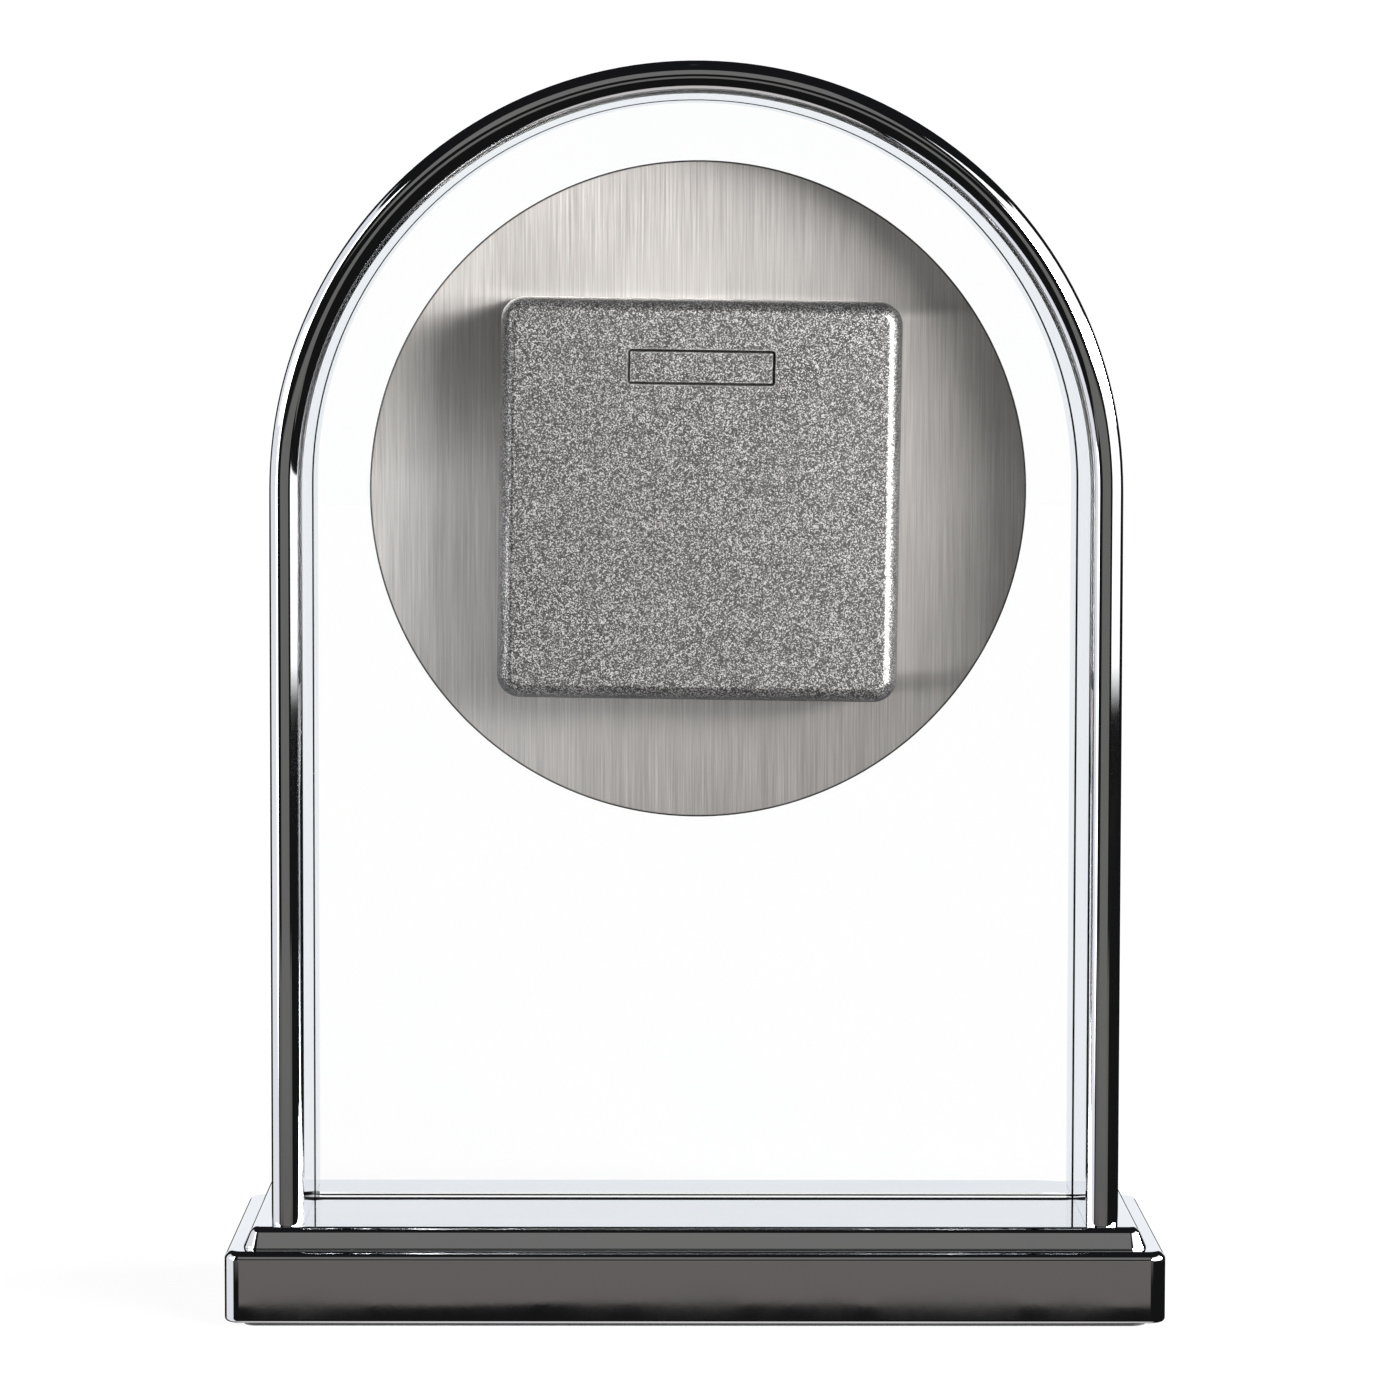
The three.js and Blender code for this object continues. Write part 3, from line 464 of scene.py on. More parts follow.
def cast_iron():
    """Sand-cast weight with a coarse skin and a little rust."""
    material, tree, shader = new_material("cast_iron", Metallic=0.5)
    skin = noise(tree, place(tree), 900, 5, 0.65)
    rust = remap(tree, noise(tree, place(tree), 70, 5, 0.6), 0.58, 0.72, 0.0, 0.6)
    tint = two_tone(tree, skin, (0.035, 0.035, 0.036), (0.11, 0.11, 0.11))
    colour = mix(tree, rust, tint, (0.13, 0.055, 0.025))
    set_surface(tree, shader, colour, over_noise(tree, skin, 0.6, 0.85), bump(tree, skin, 0.12, 0.8))
    return material


def felt():
    """Dark pressed felt with loose fibres and a nap rubbed paler in patches."""
    material, tree, shader = new_material("felt", Sheen_Weight=0.6, Sheen_Roughness=0.6,
                                          Specular_IOR_Level=0.2)
    fibre = noise(tree, place(tree, (1, 1, 0.4)), 3800, 5, 0.7, 2.5)
    nap = remap(tree, noise(tree, place(tree), 250, 3), 0.5, 0.8, 0.0, 0.4)
    tint = two_tone(tree, fibre, (0.006, 0.006, 0.007), (0.032, 0.032, 0.036))
    colour = mix(tree, nap, tint, (0.045, 0.045, 0.05))
    set_surface(tree, shader, colour, over_noise(tree, fibre, 0.85, 1.0), bump(tree, fibre, 0.2, 0.8))
    return material


def circuit_board():
    """Green lacquered board with tracks and pads, a black chip and a steel-cased crystal on top."""
    material, tree, shader = new_material("circuit_board")
    low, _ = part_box("circuit_board")
    at = on_object(tree)
    xyz = add_node(tree, "ShaderNodeSeparateXYZ", {"Vector": at})
    tracks = add_node(tree, "ShaderNodeTexBrick", {
        "Vector": at, "Scale": 380.0, "Mortar Size": 0.09, "Brick Width": 1.7, "Row Height": 0.35,
        "Color1": (0.012, 0.11, 0.045, 1), "Color2": (0.014, 0.13, 0.05, 1),
        "Mortar": (0.05, 0.26, 0.10, 1)})
    pads = add_node(tree, "ShaderNodeTexVoronoi", {"Vector": at, "Scale": 420.0, "Randomness": 0.35})
    is_pad = math_node(tree, "LESS_THAN", pads.outputs["Distance"], 0.17)
    board = mix(tree, is_pad, tracks.outputs["Color"], (0.62, 0.58, 0.5))
    above = math_node(tree, "GREATER_THAN", xyz.outputs["Z"], low.z + BOARD["parts_above"] * MM)
    to_the_side = math_node(tree, "GREATER_THAN", xyz.outputs["X"], BOARD["crystal_from_x"] * MM)
    is_crystal = multiply(tree, above, to_the_side)
    with_chip = mix(tree, above, board, (0.012, 0.012, 0.013))
    colour = mix(tree, is_crystal, with_chip, (0.66, 0.66, 0.65))
    bare_pad = math_node(tree, "SUBTRACT", is_pad, above, clamp=True)
    tree.links.new(math_node(tree, "MAXIMUM", is_crystal, bare_pad), shader.inputs["Metallic"])
    rough = over_noise(tree, noise(tree, place(tree), 700, 3), 0.25, 0.42)
    set_surface(tree, shader, colour, rough, bump(tree, tracks.outputs["Fac"], 0.03, 0.7))
    return material


def battery_jacket():
    """Printed film round a cell: a dark body, a copper band at the positive end and bare steel ends."""
    material, tree, shader = new_material("battery_jacket")
    low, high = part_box("battery")
    x = add_node(tree, "ShaderNodeSeparateXYZ", {"Vector": on_object(tree)}).outputs["X"]
    along = remap(tree, x, low.x, high.x, 0.0, 1.0)
    steel, copper, film = grey(0.6), (0.55, 0.27, 0.12), (0.03, 0.035, 0.045)
    bands = ramp(tree, along, [(0.0, steel), (0.045, copper), (0.30, film), (0.985, steel)], "CONSTANT")
    scuff = noise(tree, place(tree, (1, 12, 12)), 260, 5, 0.65)
    colour = mix(tree, remap(tree, scuff, 0.62, 0.75, 0.0, 0.35), bands, grey(0.3))
    tree.links.new(remap(tree, along, 0.29, 0.31, 0.9, 0.25), shader.inputs["Metallic"])
    set_surface(tree, shader, colour, over_noise(tree, scuff, 0.22, 0.4), bump(tree, scuff, 0.02, 0.4))
    return material


def brass():
    """Hobbed brass, slightly tarnished, with bright edges."""
    material, tree, shader = new_material("brass", Metallic=1.0)
    tarnish = noise(tree, place(tree), 500, 4)
    tint = two_tone(tree, tarnish, (0.48, 0.30, 0.10), (0.78, 0.56, 0.22))
    colour = worn_edges(tree, tint, (0.9, 0.7, 0.35), 0.1, 0.6)
    rough = over_noise(tree, tarnish, 0.38, 0.2)
    set_surface(tree, shader, colour, rough, bump(tree, tarnish, 0.008, 0.5))
    return material


def number_ink():
    """Matt off-white screen-printed ink."""
    material, tree, shader = new_material("number_ink")
    speck = noise(tree, place(tree), 2600, 4, 0.6)
    colour = ramp(tree, speck, [(0.3, (0.70, 0.69, 0.66)), (0.6, (0.86, 0.855, 0.83))])
    set_surface(tree, shader, colour, over_noise(tree, speck, 0.45, 0.65), bump(tree, speck, 0.006, 0.5))
    return material


def studio_floor():
    """Plain white floor that glows enough to run into the backdrop. The polished metal can't see it."""
    material, tree, shader = new_material("studio_floor", Roughness=1.0, Specular_IOR_Level=0.0)
    shader.inputs["Base Color"].default_value = (*grey(FLOOR["paint"]), 1.0)
    shader.inputs["Emission Color"].default_value = (*grey(1.0), 1.0)
    shader.inputs["Emission Strength"].default_value = FLOOR["glow"]
    bounces = add_node(tree, "ShaderNodeLightPath").outputs["Glossy Depth"]
    let_through(tree, shader, math_node(tree, "GREATER_THAN", bounces, 0.5))
    return material


MATERIALS = {
    "chrome": chrome(),
    "brushed_steel": brushed_steel(),
    "cover_silver": cover_silver(),
    "clear_glass": clear_glass(),
    "black_plastic": moulded("black_plastic", dark=(0.010, 0.010, 0.011), light=(0.022, 0.022, 0.024),
                             edge=(0.05, 0.05, 0.05), low_rough=0.34, high_rough=0.52),
    "gear_plastic": moulded("gear_plastic", dark=(0.60, 0.575, 0.51), light=(0.74, 0.715, 0.65),
                            edge=(0.82, 0.80, 0.75), low_rough=0.34, high_rough=0.5),
    "leaf_plastic": moulded("leaf_plastic", dark=(0.009, 0.009, 0.010), light=(0.017, 0.017, 0.018),
                            edge=(0.04, 0.04, 0.04), low_rough=0.42, high_rough=0.58),
    "bright_steel": bright_steel(),
    "cast_iron": cast_iron(),
    "felt": felt(),
    "circuit_board": circuit_board(),
    "battery_jacket": battery_jacket(),
    "brass": brass(),
}
NUMBER_INK = number_ink()


# ---------------------------------------------------------------- base

def screw_holes(low, high):
    """Holes for the two screws that hold the frame's feet."""
    return [(side * SCREW["x"], SCREW["y"], SCREW["hole"], low, high) for side in (-1, 1)]


def felt_pad():
    """A thin pad under the slab, with softened rims."""
    low, high = box_mm("felt_pad")
    width, depth, edge = high.x - low.x, high.y - low.y, PAD["edge"]
    return loft("felt_pad_soft", block_rings(width, depth, PAD["corner"], low.z, high.z, edge, edge))


def base_slab():
    """The slab is a shell, open below."""
    low, high = box_mm("base_slab")
    width, depth = high.x - low.x, high.y - low.y
    wall, corner = SLAB["wall"], SLAB["corner"]
    inside = [rounded_ring(width - 2 * wall, depth - 2 * wall, SLAB["inner_corner"], z)
              for z in (high.z - wall, low.z)]
    outside = block_rings(width, depth, corner, low.z, high.z, SLAB["low_edge"], SLAB["high_edge"])
    return drill(loft("base_slab_shell", inside + outside), screw_holes(low.z, high.z + OVERSHOOT))


def base_step():
    """The step's four sides slope in, with small breaks at the foot and at the top rim."""
    low, high = box_mm("base_step")
    width, depth = high.x - low.x, high.y - low.y
    slope = math.radians(STEP["slope_deg"])
    foot, rim = STEP["foot_break"], STEP["rim_break"]
    flat = (high.z - low.z - foot * math.sin(slope) - rim * (1 - math.sin(slope))) / math.cos(slope)
    levels = []
    for i in range(EDGE_STEPS + 1):
        turn = slope * i / EDGE_STEPS
        levels.append((foot * math.sin(turn), foot * (1 - math.cos(turn))))
    rise, drawn_in = levels[-1]
    rise, drawn_in = rise + flat * math.cos(slope), drawn_in + flat * math.sin(slope)
    for i in range(EDGE_STEPS + 1):
        turn = slope + (math.pi / 2 - slope) * i / EDGE_STEPS
        levels.append((rise + rim * (math.sin(turn) - math.sin(slope)),
                       drawn_in + rim * (math.cos(slope) - math.cos(turn))))
    rings = [rounded_ring(width - 2 * inset, depth - 2 * inset, STEP["corner"] - inset, low.z + up)
             for up, inset in levels]
    return drill(loft("base_step_block", rings), screw_holes(low.z - OVERSHOOT, high.z + OVERSHOOT))


# ---------------------------------------------------------------- arch, glass and disc

def arch_section():
    """The frame's rounded cross-section with its glass groove, as (out from the arch's centre, y)."""
    low, high = box_mm("arch_frame")
    outer = high.x
    inner = outer - ARCH["wall"]
    middle = (outer + inner) / 2
    ring = rounded_ring(ARCH["wall"], high.y - low.y, ARCH["edge"])
    points = [(middle + x, y) for x, y, _ in ring]
    corner = len(ring) // 4
    rear_side, front_side = points[:2 * corner], points[2 * corner:]
    groove = [(inner, GROOVE["rear"]), (GROOVE["radius"], GROOVE["rear"]),
              (GROOVE["radius"], GROOVE["front"]), (inner, GROOVE["front"])]
    return rear_side + groove + front_side


def arch_stations():
    """(angle, height of the turning centre) along the arch: up one leg, over the top, down the other."""
    low, high = box_mm("arch_frame")
    leg = ARCH["centre_z"] - low.z
    leg_steps = round(leg / PATH_STEP)
    arc_steps = round(math.pi * high.x / PATH_STEP)
    heights = [low.z + leg * i / leg_steps for i in range(leg_steps)]
    rising = [(0.0, z) for z in heights]
    over = [(math.pi * i / arc_steps, ARCH["centre_z"]) for i in range(arc_steps + 1)]
    falling = [(math.pi, z) for z in reversed(heights)]
    return rising + over + falling


def arch_frame():
    """The cross-section swept up one leg, over and down the other, with a screw hole in each foot."""
    section = arch_section()
    rings = [[(out * math.cos(angle), y, z + out * math.sin(angle)) for out, y in section]
             for angle, z in arch_stations()]
    low, _ = box_mm("arch_frame")
    holes = screw_holes(low.z - OVERSHOOT, low.z + SCREW["foot_depth"])
    return drill(loft("arch_frame_band", rings), holes)


def arch_reach(radius, foot, angle):
    """How far the arch's outline is from the opening's centre in a direction."""
    dx, dz = math.cos(angle), math.sin(angle)
    x, z = OPENING["x"], OPENING["z"]
    side = ((radius if dx > 0 else -radius) - x) / dx if abs(dx) > 1e-9 else math.inf
    if z + side * dz > ARCH["centre_z"] or side == math.inf and dz > 0:
        up = z - ARCH["centre_z"]
        along = x * dx + up * dz
        side = -along + math.sqrt(along * along - (x * x + up * up - radius * radius))
    floor = (foot - z) / dz if dz < 0 else math.inf
    return min(side, floor)


def arch_outline(radius, foot, inset):
    """The glass outline, with a point in each foot corner."""
    x, z = OPENING["x"], OPENING["z"]
    corners = [math.atan2(foot - z, side * radius - x) % (2 * math.pi) for side in (-1, 1)]
    angles = sorted([2 * math.pi * i / DISC["facets"] for i in range(DISC["facets"])] + corners)
    reach = [arch_reach(radius - inset, foot + inset, angle) for angle in angles]
    return [(x + r * math.cos(a), z + r * math.sin(a)) for r, a in zip(reach, angles)], angles


def square_outline(angles):
    """The square opening, one point for each direction."""
    points = []
    for angle in angles:
        dx, dz = math.cos(angle), math.sin(angle)
        reach = OPENING["half"] / max(abs(dx), abs(dz))
        points.append((OPENING["x"] + reach * dx, OPENING["z"] + reach * dz))
    return points


def at_depth(outline, y):
    """An (x, z) outline as points at one depth."""
    return [(x, y, z) for x, z in outline]


def sheet_mesh(name, outer, rim, hole, front, rear, edge):
    """A flat sheet with an opening. Its outer rim is drawn in from outer to rim over the edge."""
    rings = [at_depth(rim, front), at_depth(outer, front + edge), at_depth(outer, rear - edge),
             at_depth(rim, rear), at_depth(hole, rear), at_depth(hole, front)]
    return loft(name, rings, closed=True)


def glass_panel():
    """The arch-shaped sheet that stands in the frame's groove, with the movement's square opening."""
    low, high = box_mm("glass_panel")
    outer, angles = arch_outline(high.x, low.z, 0)
    rim, _ = arch_outline(high.x, low.z, GLASS_EDGE)
    return sheet_mesh("glass_panel_sheet", outer, rim, square_outline(angles), low.y, high.y, GLASS_EDGE)


def backing_disc():
    """The round sheet behind the cover, with a map that gives its brush direction."""
    low, high = box_mm("backing_disc")
    radius = (high.x - low.x) / 2
    x, z = (low.x + high.x) / 2, (low.z + high.z) / 2
    turns = [2 * math.pi * (i + 0.5) / DISC["facets"] for i in range(DISC["facets"])]
    corners = [math.pi * (0.25 + 0.5 * i) for i in range(4)]
    angles = sorted(turns + corners)

    def circle(inset):
        """The disc's outline, drawn in by an inset."""
        return [(x + (radius - inset) * math.cos(a), z + (radius - inset) * math.sin(a)) for a in angles]

    mesh = sheet_mesh("backing_disc_sheet", circle(0), circle(DISC["edge"]), square_outline(angles),
                      low.y, high.y, DISC["edge"])
    flat = mesh.uv_layers.new(name=BRUSH_MAP)
    for loop in mesh.loops:
        point = mesh.vertices[loop.vertex_index].co
        flat.data[loop.index].uv = (point.x / (2 * radius * MM), point.z / (2 * radius * MM))
    return mesh


# ---------------------------------------------------------------- cover, bezel and lens

def cap_rings(size, corner, edge, wall, top, height, edge_depth):
    """Rings of a square cap standing on Z, open side down, from its inner ceiling to its outer top.

    Its outer rim is drawn in by edge over the last edge_depth of its height."""
    inner = size - 2 * wall
    inside = [rounded_ring(inner, inner, corner - wall, z) for z in (height - top, 0)]
    outside = [rounded_ring(size, size, corner, 0)]
    for rise, inset in quarter_round(edge, False):
        level = height + rise * edge_depth / edge
        outside.append(rounded_ring(size - 2 * inset, size - 2 * inset, corner - inset, level))
    return inside + outside


def rear_cover():
    """The cap's top faces the rear and has a shallow finger recess near its upper edge."""
    low, high = box_mm("rear_cover")
    height = high.y - low.y
    wall = COVER["wall"]
    rings = cap_rings(COVER["size"], COVER["corner"], COVER["edge"], wall, wall, height, COVER["edge_depth"])
    for inset, drop in GRIP["trench"]:
        ring = rounded_ring(GRIP["width"] - 2 * inset, GRIP["height"] - 2 * inset, GRIP["corner"] - inset)
        rings.append([(x, y + GRIP["up"], height - drop) for x, y, _ in ring])
    x, z = COVER["centre"]
    facing_rear = Matrix(((-1, 0, 0, 0), (0, 0, 1, 0), (0, 1, 0, 0), (0, 0, 0, 1)))
    tilt = Matrix.Rotation(math.radians(COVER["tilt_deg"]), 4, "Y")
    return loft("rear_cover_shell", rings, Matrix.Translation((x, low.y, z)) @ tilt @ facing_rear)


def front_bezel():
    """The cap's top faces the front and has the number window in it."""
    low, high = box_mm("front_bezel")
    height = high.y - low.y
    edge = BEZEL["edge"]
    rings = cap_rings(high.x - low.x, BEZEL["corner"], edge, BEZEL["wall"], BEZEL["plate"], height, edge)
    width, tall = BEZEL["window"]
    for grow, drop in (*BEZEL["window_rim"], (0.0, BEZEL["plate"])):
        corner = BEZEL["window_corner"] + grow
        rings.append(rounded_ring(width + 2 * grow, tall + 2 * grow, corner, height - drop))
    centre = Matrix.Translation(((low.x + high.x) / 2, high.y, (low.z + high.z) / 2))
    return loft("front_bezel_shell", rings, centre @ Matrix.Rotation(math.pi / 2, 4, "X"), closed=True)


def front_lens():
    """The clear sheet behind the bezel's window."""
    low, high = box_mm("front_lens")
    edge = LENS["edge"]
    rings = block_rings(high.x - low.x, high.z - low.z, LENS["corner"], 0, high.y - low.y, edge, edge)
    centre = Matrix.Translation(((low.x + high.x) / 2, high.y, (low.z + high.z) / 2))
    return loft("front_lens_sheet", rings, centre @ Matrix.Rotation(math.pi / 2, 4, "X"))


# ---------------------------------------------------------------- numbers

def number_half(text, width, upper, split):
    """The upper or lower half of a number as thin ink, standing in the XZ plane and facing -Y."""
    curve = bpy.data.curves.new("number", "FONT")
    curve.body = text
    curve.align_x = "CENTER"
    curve.align_y = "CENTER"
    curve.offset = TYPE["weight"]
    curve.extrude = TYPE["extrude"]
    curve.resolution_u = TYPE["curve_steps"]
    source = bpy.data.objects.new("number", curve)
    bpy.context.scene.collection.objects.link(source)
    mesh = bpy.data.meshes.new_from_object(source.evaluated_get(bpy.context.evaluated_depsgraph_get()))
    bpy.data.objects.remove(source)
    bm = bmesh.new()
    bm.from_mesh(mesh)
    bpy.data.meshes.remove(mesh)
    bmesh.ops.remove_doubles(bm, verts=bm.verts, dist=TYPE["weld"])
    xs = [v.co.x for v in bm.verts]
    ys = [v.co.y for v in bm.verts]
    middle_x, middle_y = (min(xs) + max(xs)) / 2, (min(ys) + max(ys)) / 2
    tall = NUMBER["height"] / (max(ys) - min(ys))
    wide = min(tall, (width - 2 * NUMBER["side_margin"]) / (max(xs) - min(xs)))
    for v in bm.verts:
        v.co = Vector(((v.co.x - middle_x) * wide, -v.co.z * NUMBER["raise"],
                       (v.co.y - middle_y) * tall + NUMBER["centre_z"]))
    cut = bmesh.ops.bisect_plane(bm, geom=[*bm.verts, *bm.edges, *bm.faces], plane_co=(0, 0, split),
                                 plane_no=(0, 0, 1), clear_inner=upper, clear_outer=not upper)
    rim = [item for item in cut["geom_cut"] if isinstance(item, bmesh.types.BMEdge)]
    bmesh.ops.holes_fill(bm, edges=rim)
    return bm


def leaf_place(drum, index):
    """Where a leaf's own frame stands: on its pin, turned back round the drum or hanging down."""
    count = len(drum["numbers"])
    pin = math.radians(drum["pin_deg"]) + 2 * math.pi * index / count
    turn = math.pi if pin > math.pi else -2 * math.pi * index / count
    at = Vector((0, -PIN_CIRCLE * math.cos(pin), PIN_CIRCLE * math.sin(pin)))
    return Matrix.Translation(MOVEMENT + at) @ Matrix.Rotation(turn, 4, "X")


def leaf_numbers(drum, index):
    """Ink on both faces of a leaf: its number's upper half, with the next number's lower half behind."""
    numbers = drum["numbers"]
    x0, x1 = drum["x"]
    skin = LEAF_THICKNESS / 2 + NUMBER["raise"] / 2 + NUMBER["lift"]
    standing = leaf_place(drum, 0)
    hanging = leaf_place(drum, len(numbers) - 1)
    to_centre = Matrix.Translation(MOVEMENT + Vector(((x0 + x1) / 2, 0, 0)))
    place_now = leaf_place(drum, index)
    parts = []
    for upper, number, shown_as in ((True, numbers[index], standing),
                                    (False, numbers[(index + 1) % len(numbers)], hanging)):
        pin_z = shown_as.translation.z - MOVEMENT.z
        gap = drum["tail"] - NUMBER["split_margin"]
        split = pin_z - gap if upper else pin_z + gap
        half = number_half(number, x1 - x0, upper, split)
        leaf_y = shown_as.translation.y - MOVEMENT.y
        half.transform(Matrix.Translation((0, leaf_y - skin, 0)))
        in_leaf = shown_as.inverted() @ to_centre
        half.transform(place_now @ in_leaf)
        parts.append(half)
    return parts


def number_piece(name, body, drum, indexes):
    """All the ink that moves with one body, as one mesh."""
    whole = bmesh.new()
    for index in indexes:
        for part in leaf_numbers(drum, index):
            mesh = bpy.data.meshes.new("part")
            part.to_mesh(mesh)
            part.free()
            whole.from_mesh(mesh)
            bpy.data.meshes.remove(mesh)
    bmesh.ops.scale(whole, vec=(MM, MM, MM), verts=whole.verts)
    bmesh.ops.recalc_face_normals(whole, faces=whole.faces)
    mesh = bpy.data.meshes.new(name)
    whole.to_mesh(mesh)
    whole.free()
    piece = bpy.data.objects.new(name, mesh)
    bpy.context.scene.collection.objects.link(piece)
    mesh.materials.append(NUMBER_INK)
    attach(piece, body)


# ---------------------------------------------------------------- CAD nodes that stay

def finish_group():
    """Geometry nodes that weld a CAD mesh and shade it smooth across shallow angles."""
    group = bpy.data.node_groups.new("smooth_shallow_angles", "GeometryNodeTree")
    group.interface.new_socket("Geometry", in_out="INPUT", socket_type="NodeSocketGeometry")
    group.interface.new_socket("Geometry", in_out="OUTPUT", socket_type="NodeSocketGeometry")
    entry = group.nodes.new("NodeGroupInput")
    weld = add_node(group, "GeometryNodeMergeByDistance", {
        "Geometry": entry.outputs[0], "Distance": WELD_DISTANCE})
    angle = group.nodes.new("GeometryNodeInputMeshEdgeAngle").outputs["Unsigned Angle"]
    sharp = add_node(group, "FunctionNodeCompare", {0: angle, 1: SMOOTH_ANGLE}, operation="GREATER_THAN")
    normal = add_node(group, "GeometryNodeSetMeshNormal", {
        "Mesh": weld.outputs[0], "Remove Custom": True, "Edge Sharpness": sharp.outputs[0],
        "Face Sharpness": False})
    leave = group.nodes.new("NodeGroupOutput")
    group.links.new(normal.outputs[0], leave.inputs[0])
    return group


def finish_cad_nodes():
    """Gives every CAD node that still shows its material, smooth shading and broken edges."""
    group = finish_group()
    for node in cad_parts.values():
        if node.hide_render:
            continue
        slot = node.data.materials[0].name
        for material_slot in node.material_slots:
            material_slot.material = MATERIALS[slot]
        node.modifiers.new("smooth_shallow_angles", "NODES").node_group = group
        bevel = node.modifiers.new("broken_edges", "BEVEL")
        bevel.width = BROKEN_EDGE.get(slot, USUAL_BROKEN_EDGE) * MM
        bevel.segments = BEVEL_STEPS
        bevel.limit_method = "ANGLE"
        bevel.angle_limit = SMOOTH_ANGLE
        bevel.harden_normals = True


# ---------------------------------------------------------------- studio

BACKDROP = (0.93, 0.95, 0.98)
BACKDROP_STRENGTH = 1.06
BLACK = grey(0.008)
# what the metal sees, painted in order: azimuth from and to (0 behind the camera, 90 towards +X),
# elevation from and to, softness in degrees, colour
STUDIO = [
    (-200, 200, 14, 91, 4, (0.009, 0.009, 0.010)),       # dark ceiling
    (-200, 200, -91, -58, 3, (0.62, 0.58, 0.56)),        # table just below
    (-150, 150, -64, 46, 2, BLACK),                      # dark room round the camera
    (-174, 174, -64, -2, 2, BLACK),                      # its floor, which reaches further round
    (55, 122, -60, 40, 1, (0.86, 0.85, 0.88)),           # pale screen on the +X side
    (55, 66, -8, 40, 1, (3.2, 3.16, 3.12)),              # its bright edge
    (55, 90, 8, 20, 3, (7.0, 6.9, 6.8)),                 # a weak strip lamp above the clock's level
    (50, 60, -64, -7, 1, BLACK),                         # shade under the bright edge
    (-107, -35, -4.1, 40, 0.5, (1.4, 1.37, 1.34)),       # soft box on the -X side
    (-107, -28, 8, 20, 3, (80.0, 78.5, 77.0)),           # the main strip lamp, above the clock's level
    (-35, 51, -10, -7, 0.6, (0.125, 0.12, 0.112)),       # grey floor in front of the clock
    (-20, 24, -10.74, -9.5, 0.06, (0.14, 0.128, 0.12)),  # a paler patch of it
    (-21, 33, -9, 2, 1.5, (0.15, 0.148, 0.138)),         # grey wall behind the camera
    (-21, 33, 17, 46, 1.5, (0.17, 0.166, 0.158)),        # the wall's upper part
]


def degrees_window(tree, value, low, high, soft):
    """1 between two angles, fading to 0 over the softness."""
    rise = remap(tree, value, low - soft / 2, low + soft / 2, 0.0, 1.0)
    fall = remap(tree, value, high - soft / 2, high + soft / 2, 1.0, 0.0)
    return multiply(tree, rise, fall)


def build_world():
    """A white backdrop for the eye, and a room of panels for the metal to mirror."""
    world = bpy.data.worlds.new("studio")
    bpy.context.scene.world = world
    world.use_nodes = True
    tree = world.node_tree
    direction = add_node(tree, "ShaderNodeTexCoord").outputs["Generated"]
    xyz = add_node(tree, "ShaderNodeSeparateXYZ", {"Vector": direction})
    azimuth = math_node(tree, "DEGREES", math_node(tree, "ARCTAN2", xyz.outputs["X"], xyz.outputs["Y"]))
    elevation = math_node(tree, "DEGREES", math_node(tree, "ARCSINE", xyz.outputs["Z"]))
    colour = BACKDROP
    for low_az, high_az, low_el, high_el, soft, paint in STUDIO:
        share = multiply(tree, degrees_window(tree, azimuth, low_az, high_az, soft),
                         degrees_window(tree, elevation, low_el, high_el, soft))
        colour = mix(tree, share, colour, paint)
    path = add_node(tree, "ShaderNodeLightPath")
    clear = math_node(tree, "MAXIMUM", path.outputs["Is Camera Ray"], path.outputs["Is Transmission Ray"])
    seen = multiply(tree, clear, math_node(tree, "LESS_THAN", path.outputs["Glossy Depth"], 0.5))
    room = tree.nodes["Background"]
    tree.links.new(colour, room.inputs["Color"])
    white = (*grey(1.0), 1.0)
    plain = add_node(tree, "ShaderNodeBackground", {"Color": white, "Strength": BACKDROP_STRENGTH})
    both = add_node(tree, "ShaderNodeMixShader", {0: seen, 1: room.outputs[0], 2: plain.outputs[0]})
    tree.links.new(both.outputs[0], tree.nodes["World Output"].inputs["Surface"])


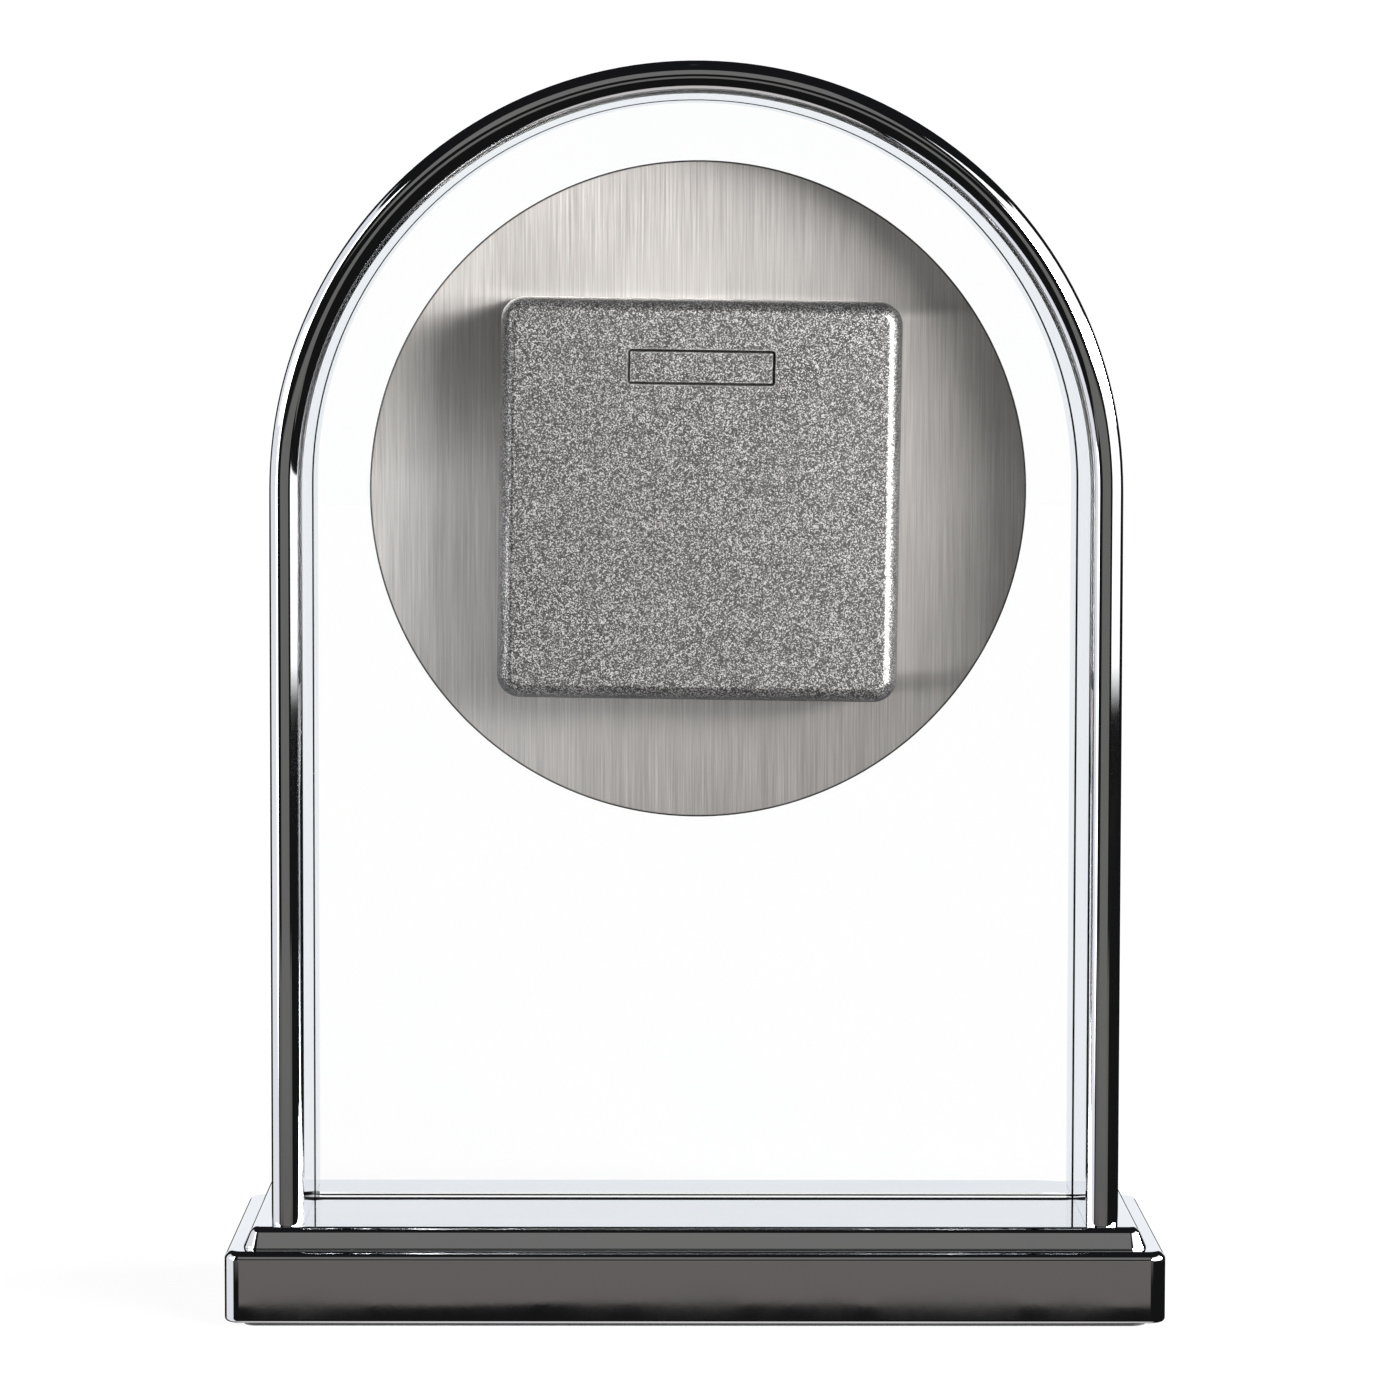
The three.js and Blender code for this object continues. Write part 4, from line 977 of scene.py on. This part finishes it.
def build_floor():
    """A wide round floor under the clock."""
    radius, sides = FLOOR["radius"] * MM, FLOOR["sides"]
    turns = [2 * math.pi * i / sides for i in range(sides)]
    rim = [(radius * math.cos(turn), radius * math.sin(turn), 0) for turn in turns]
    mesh = bpy.data.meshes.new("floor")
    mesh.from_pydata(rim, [], [list(range(sides))])
    mesh.materials.append(studio_floor())
    floor = bpy.data.objects.new("floor", mesh)
    bpy.context.scene.collection.objects.link(floor)
    floor.visible_glossy = False


def build_camera():
    """A long lens behind the clock, looking slightly down."""
    data = bpy.data.cameras.new("camera")
    data.sensor_width = CAMERA["sensor"]
    data.lens = CAMERA["lens"]
    data.clip_start = CAMERA["nearest"] * MM
    camera = bpy.data.objects.new("camera", data)
    bpy.context.scene.collection.objects.link(camera)
    pitch, yaw, roll = (math.radians(CAMERA[key]) for key in ("pitch_deg", "yaw_deg", "roll_deg"))
    ahead, down = math.cos(pitch), math.sin(pitch)
    forward = Vector((math.sin(yaw) * ahead, -math.cos(yaw) * ahead, -down))
    level = forward.cross(Vector((0, 0, 1))).normalized()
    upright = level.cross(forward)
    right = level * math.cos(roll) + upright * math.sin(roll)
    up = upright * math.cos(roll) - level * math.sin(roll)
    turn = Matrix((right, up, -forward)).transposed().to_4x4()
    camera.matrix_world = Matrix.Translation(Vector(CAMERA["at"]) * MM) @ turn
    bpy.context.scene.camera = camera


# ---------------------------------------------------------------- assembly

add_piece("felt_pad_soft", felt_pad(), "root", "felt", "felt_pad")
add_piece("base_slab_shell", base_slab(), "root", "chrome", "base_slab")
add_piece("base_step_block", base_step(), "root", "chrome", "base_step")
add_piece("arch_frame_band", arch_frame(), "root", "chrome", "arch_frame")
add_piece("glass_panel_sheet", glass_panel(), "root", "clear_glass", "glass_panel")
add_piece("backing_disc_sheet", backing_disc(), "root", "brushed_steel", "backing_disc")
add_piece("rear_cover_shell", rear_cover(), "rear_cover", "cover_silver", "rear_cover")
add_piece("front_bezel_shell", front_bezel(), "root", "chrome", "front_bezel")
add_piece("front_lens_sheet", front_lens(), "root", "clear_glass", "front_lens")
for drum_name, drum in DRUMS.items():
    count = len(drum["numbers"])
    number_piece(f"{drum_name}_drum_numbers", f"{drum_name}_drum", drum, range(1, count))
    number_piece(f"{drum_name}_leaf_01_numbers", f"{drum_name}_falling_leaf", drum, [0])
finish_cad_nodes()

build_world()
build_floor()
build_camera()
bpy.context.scene.view_settings.view_transform = "Standard"
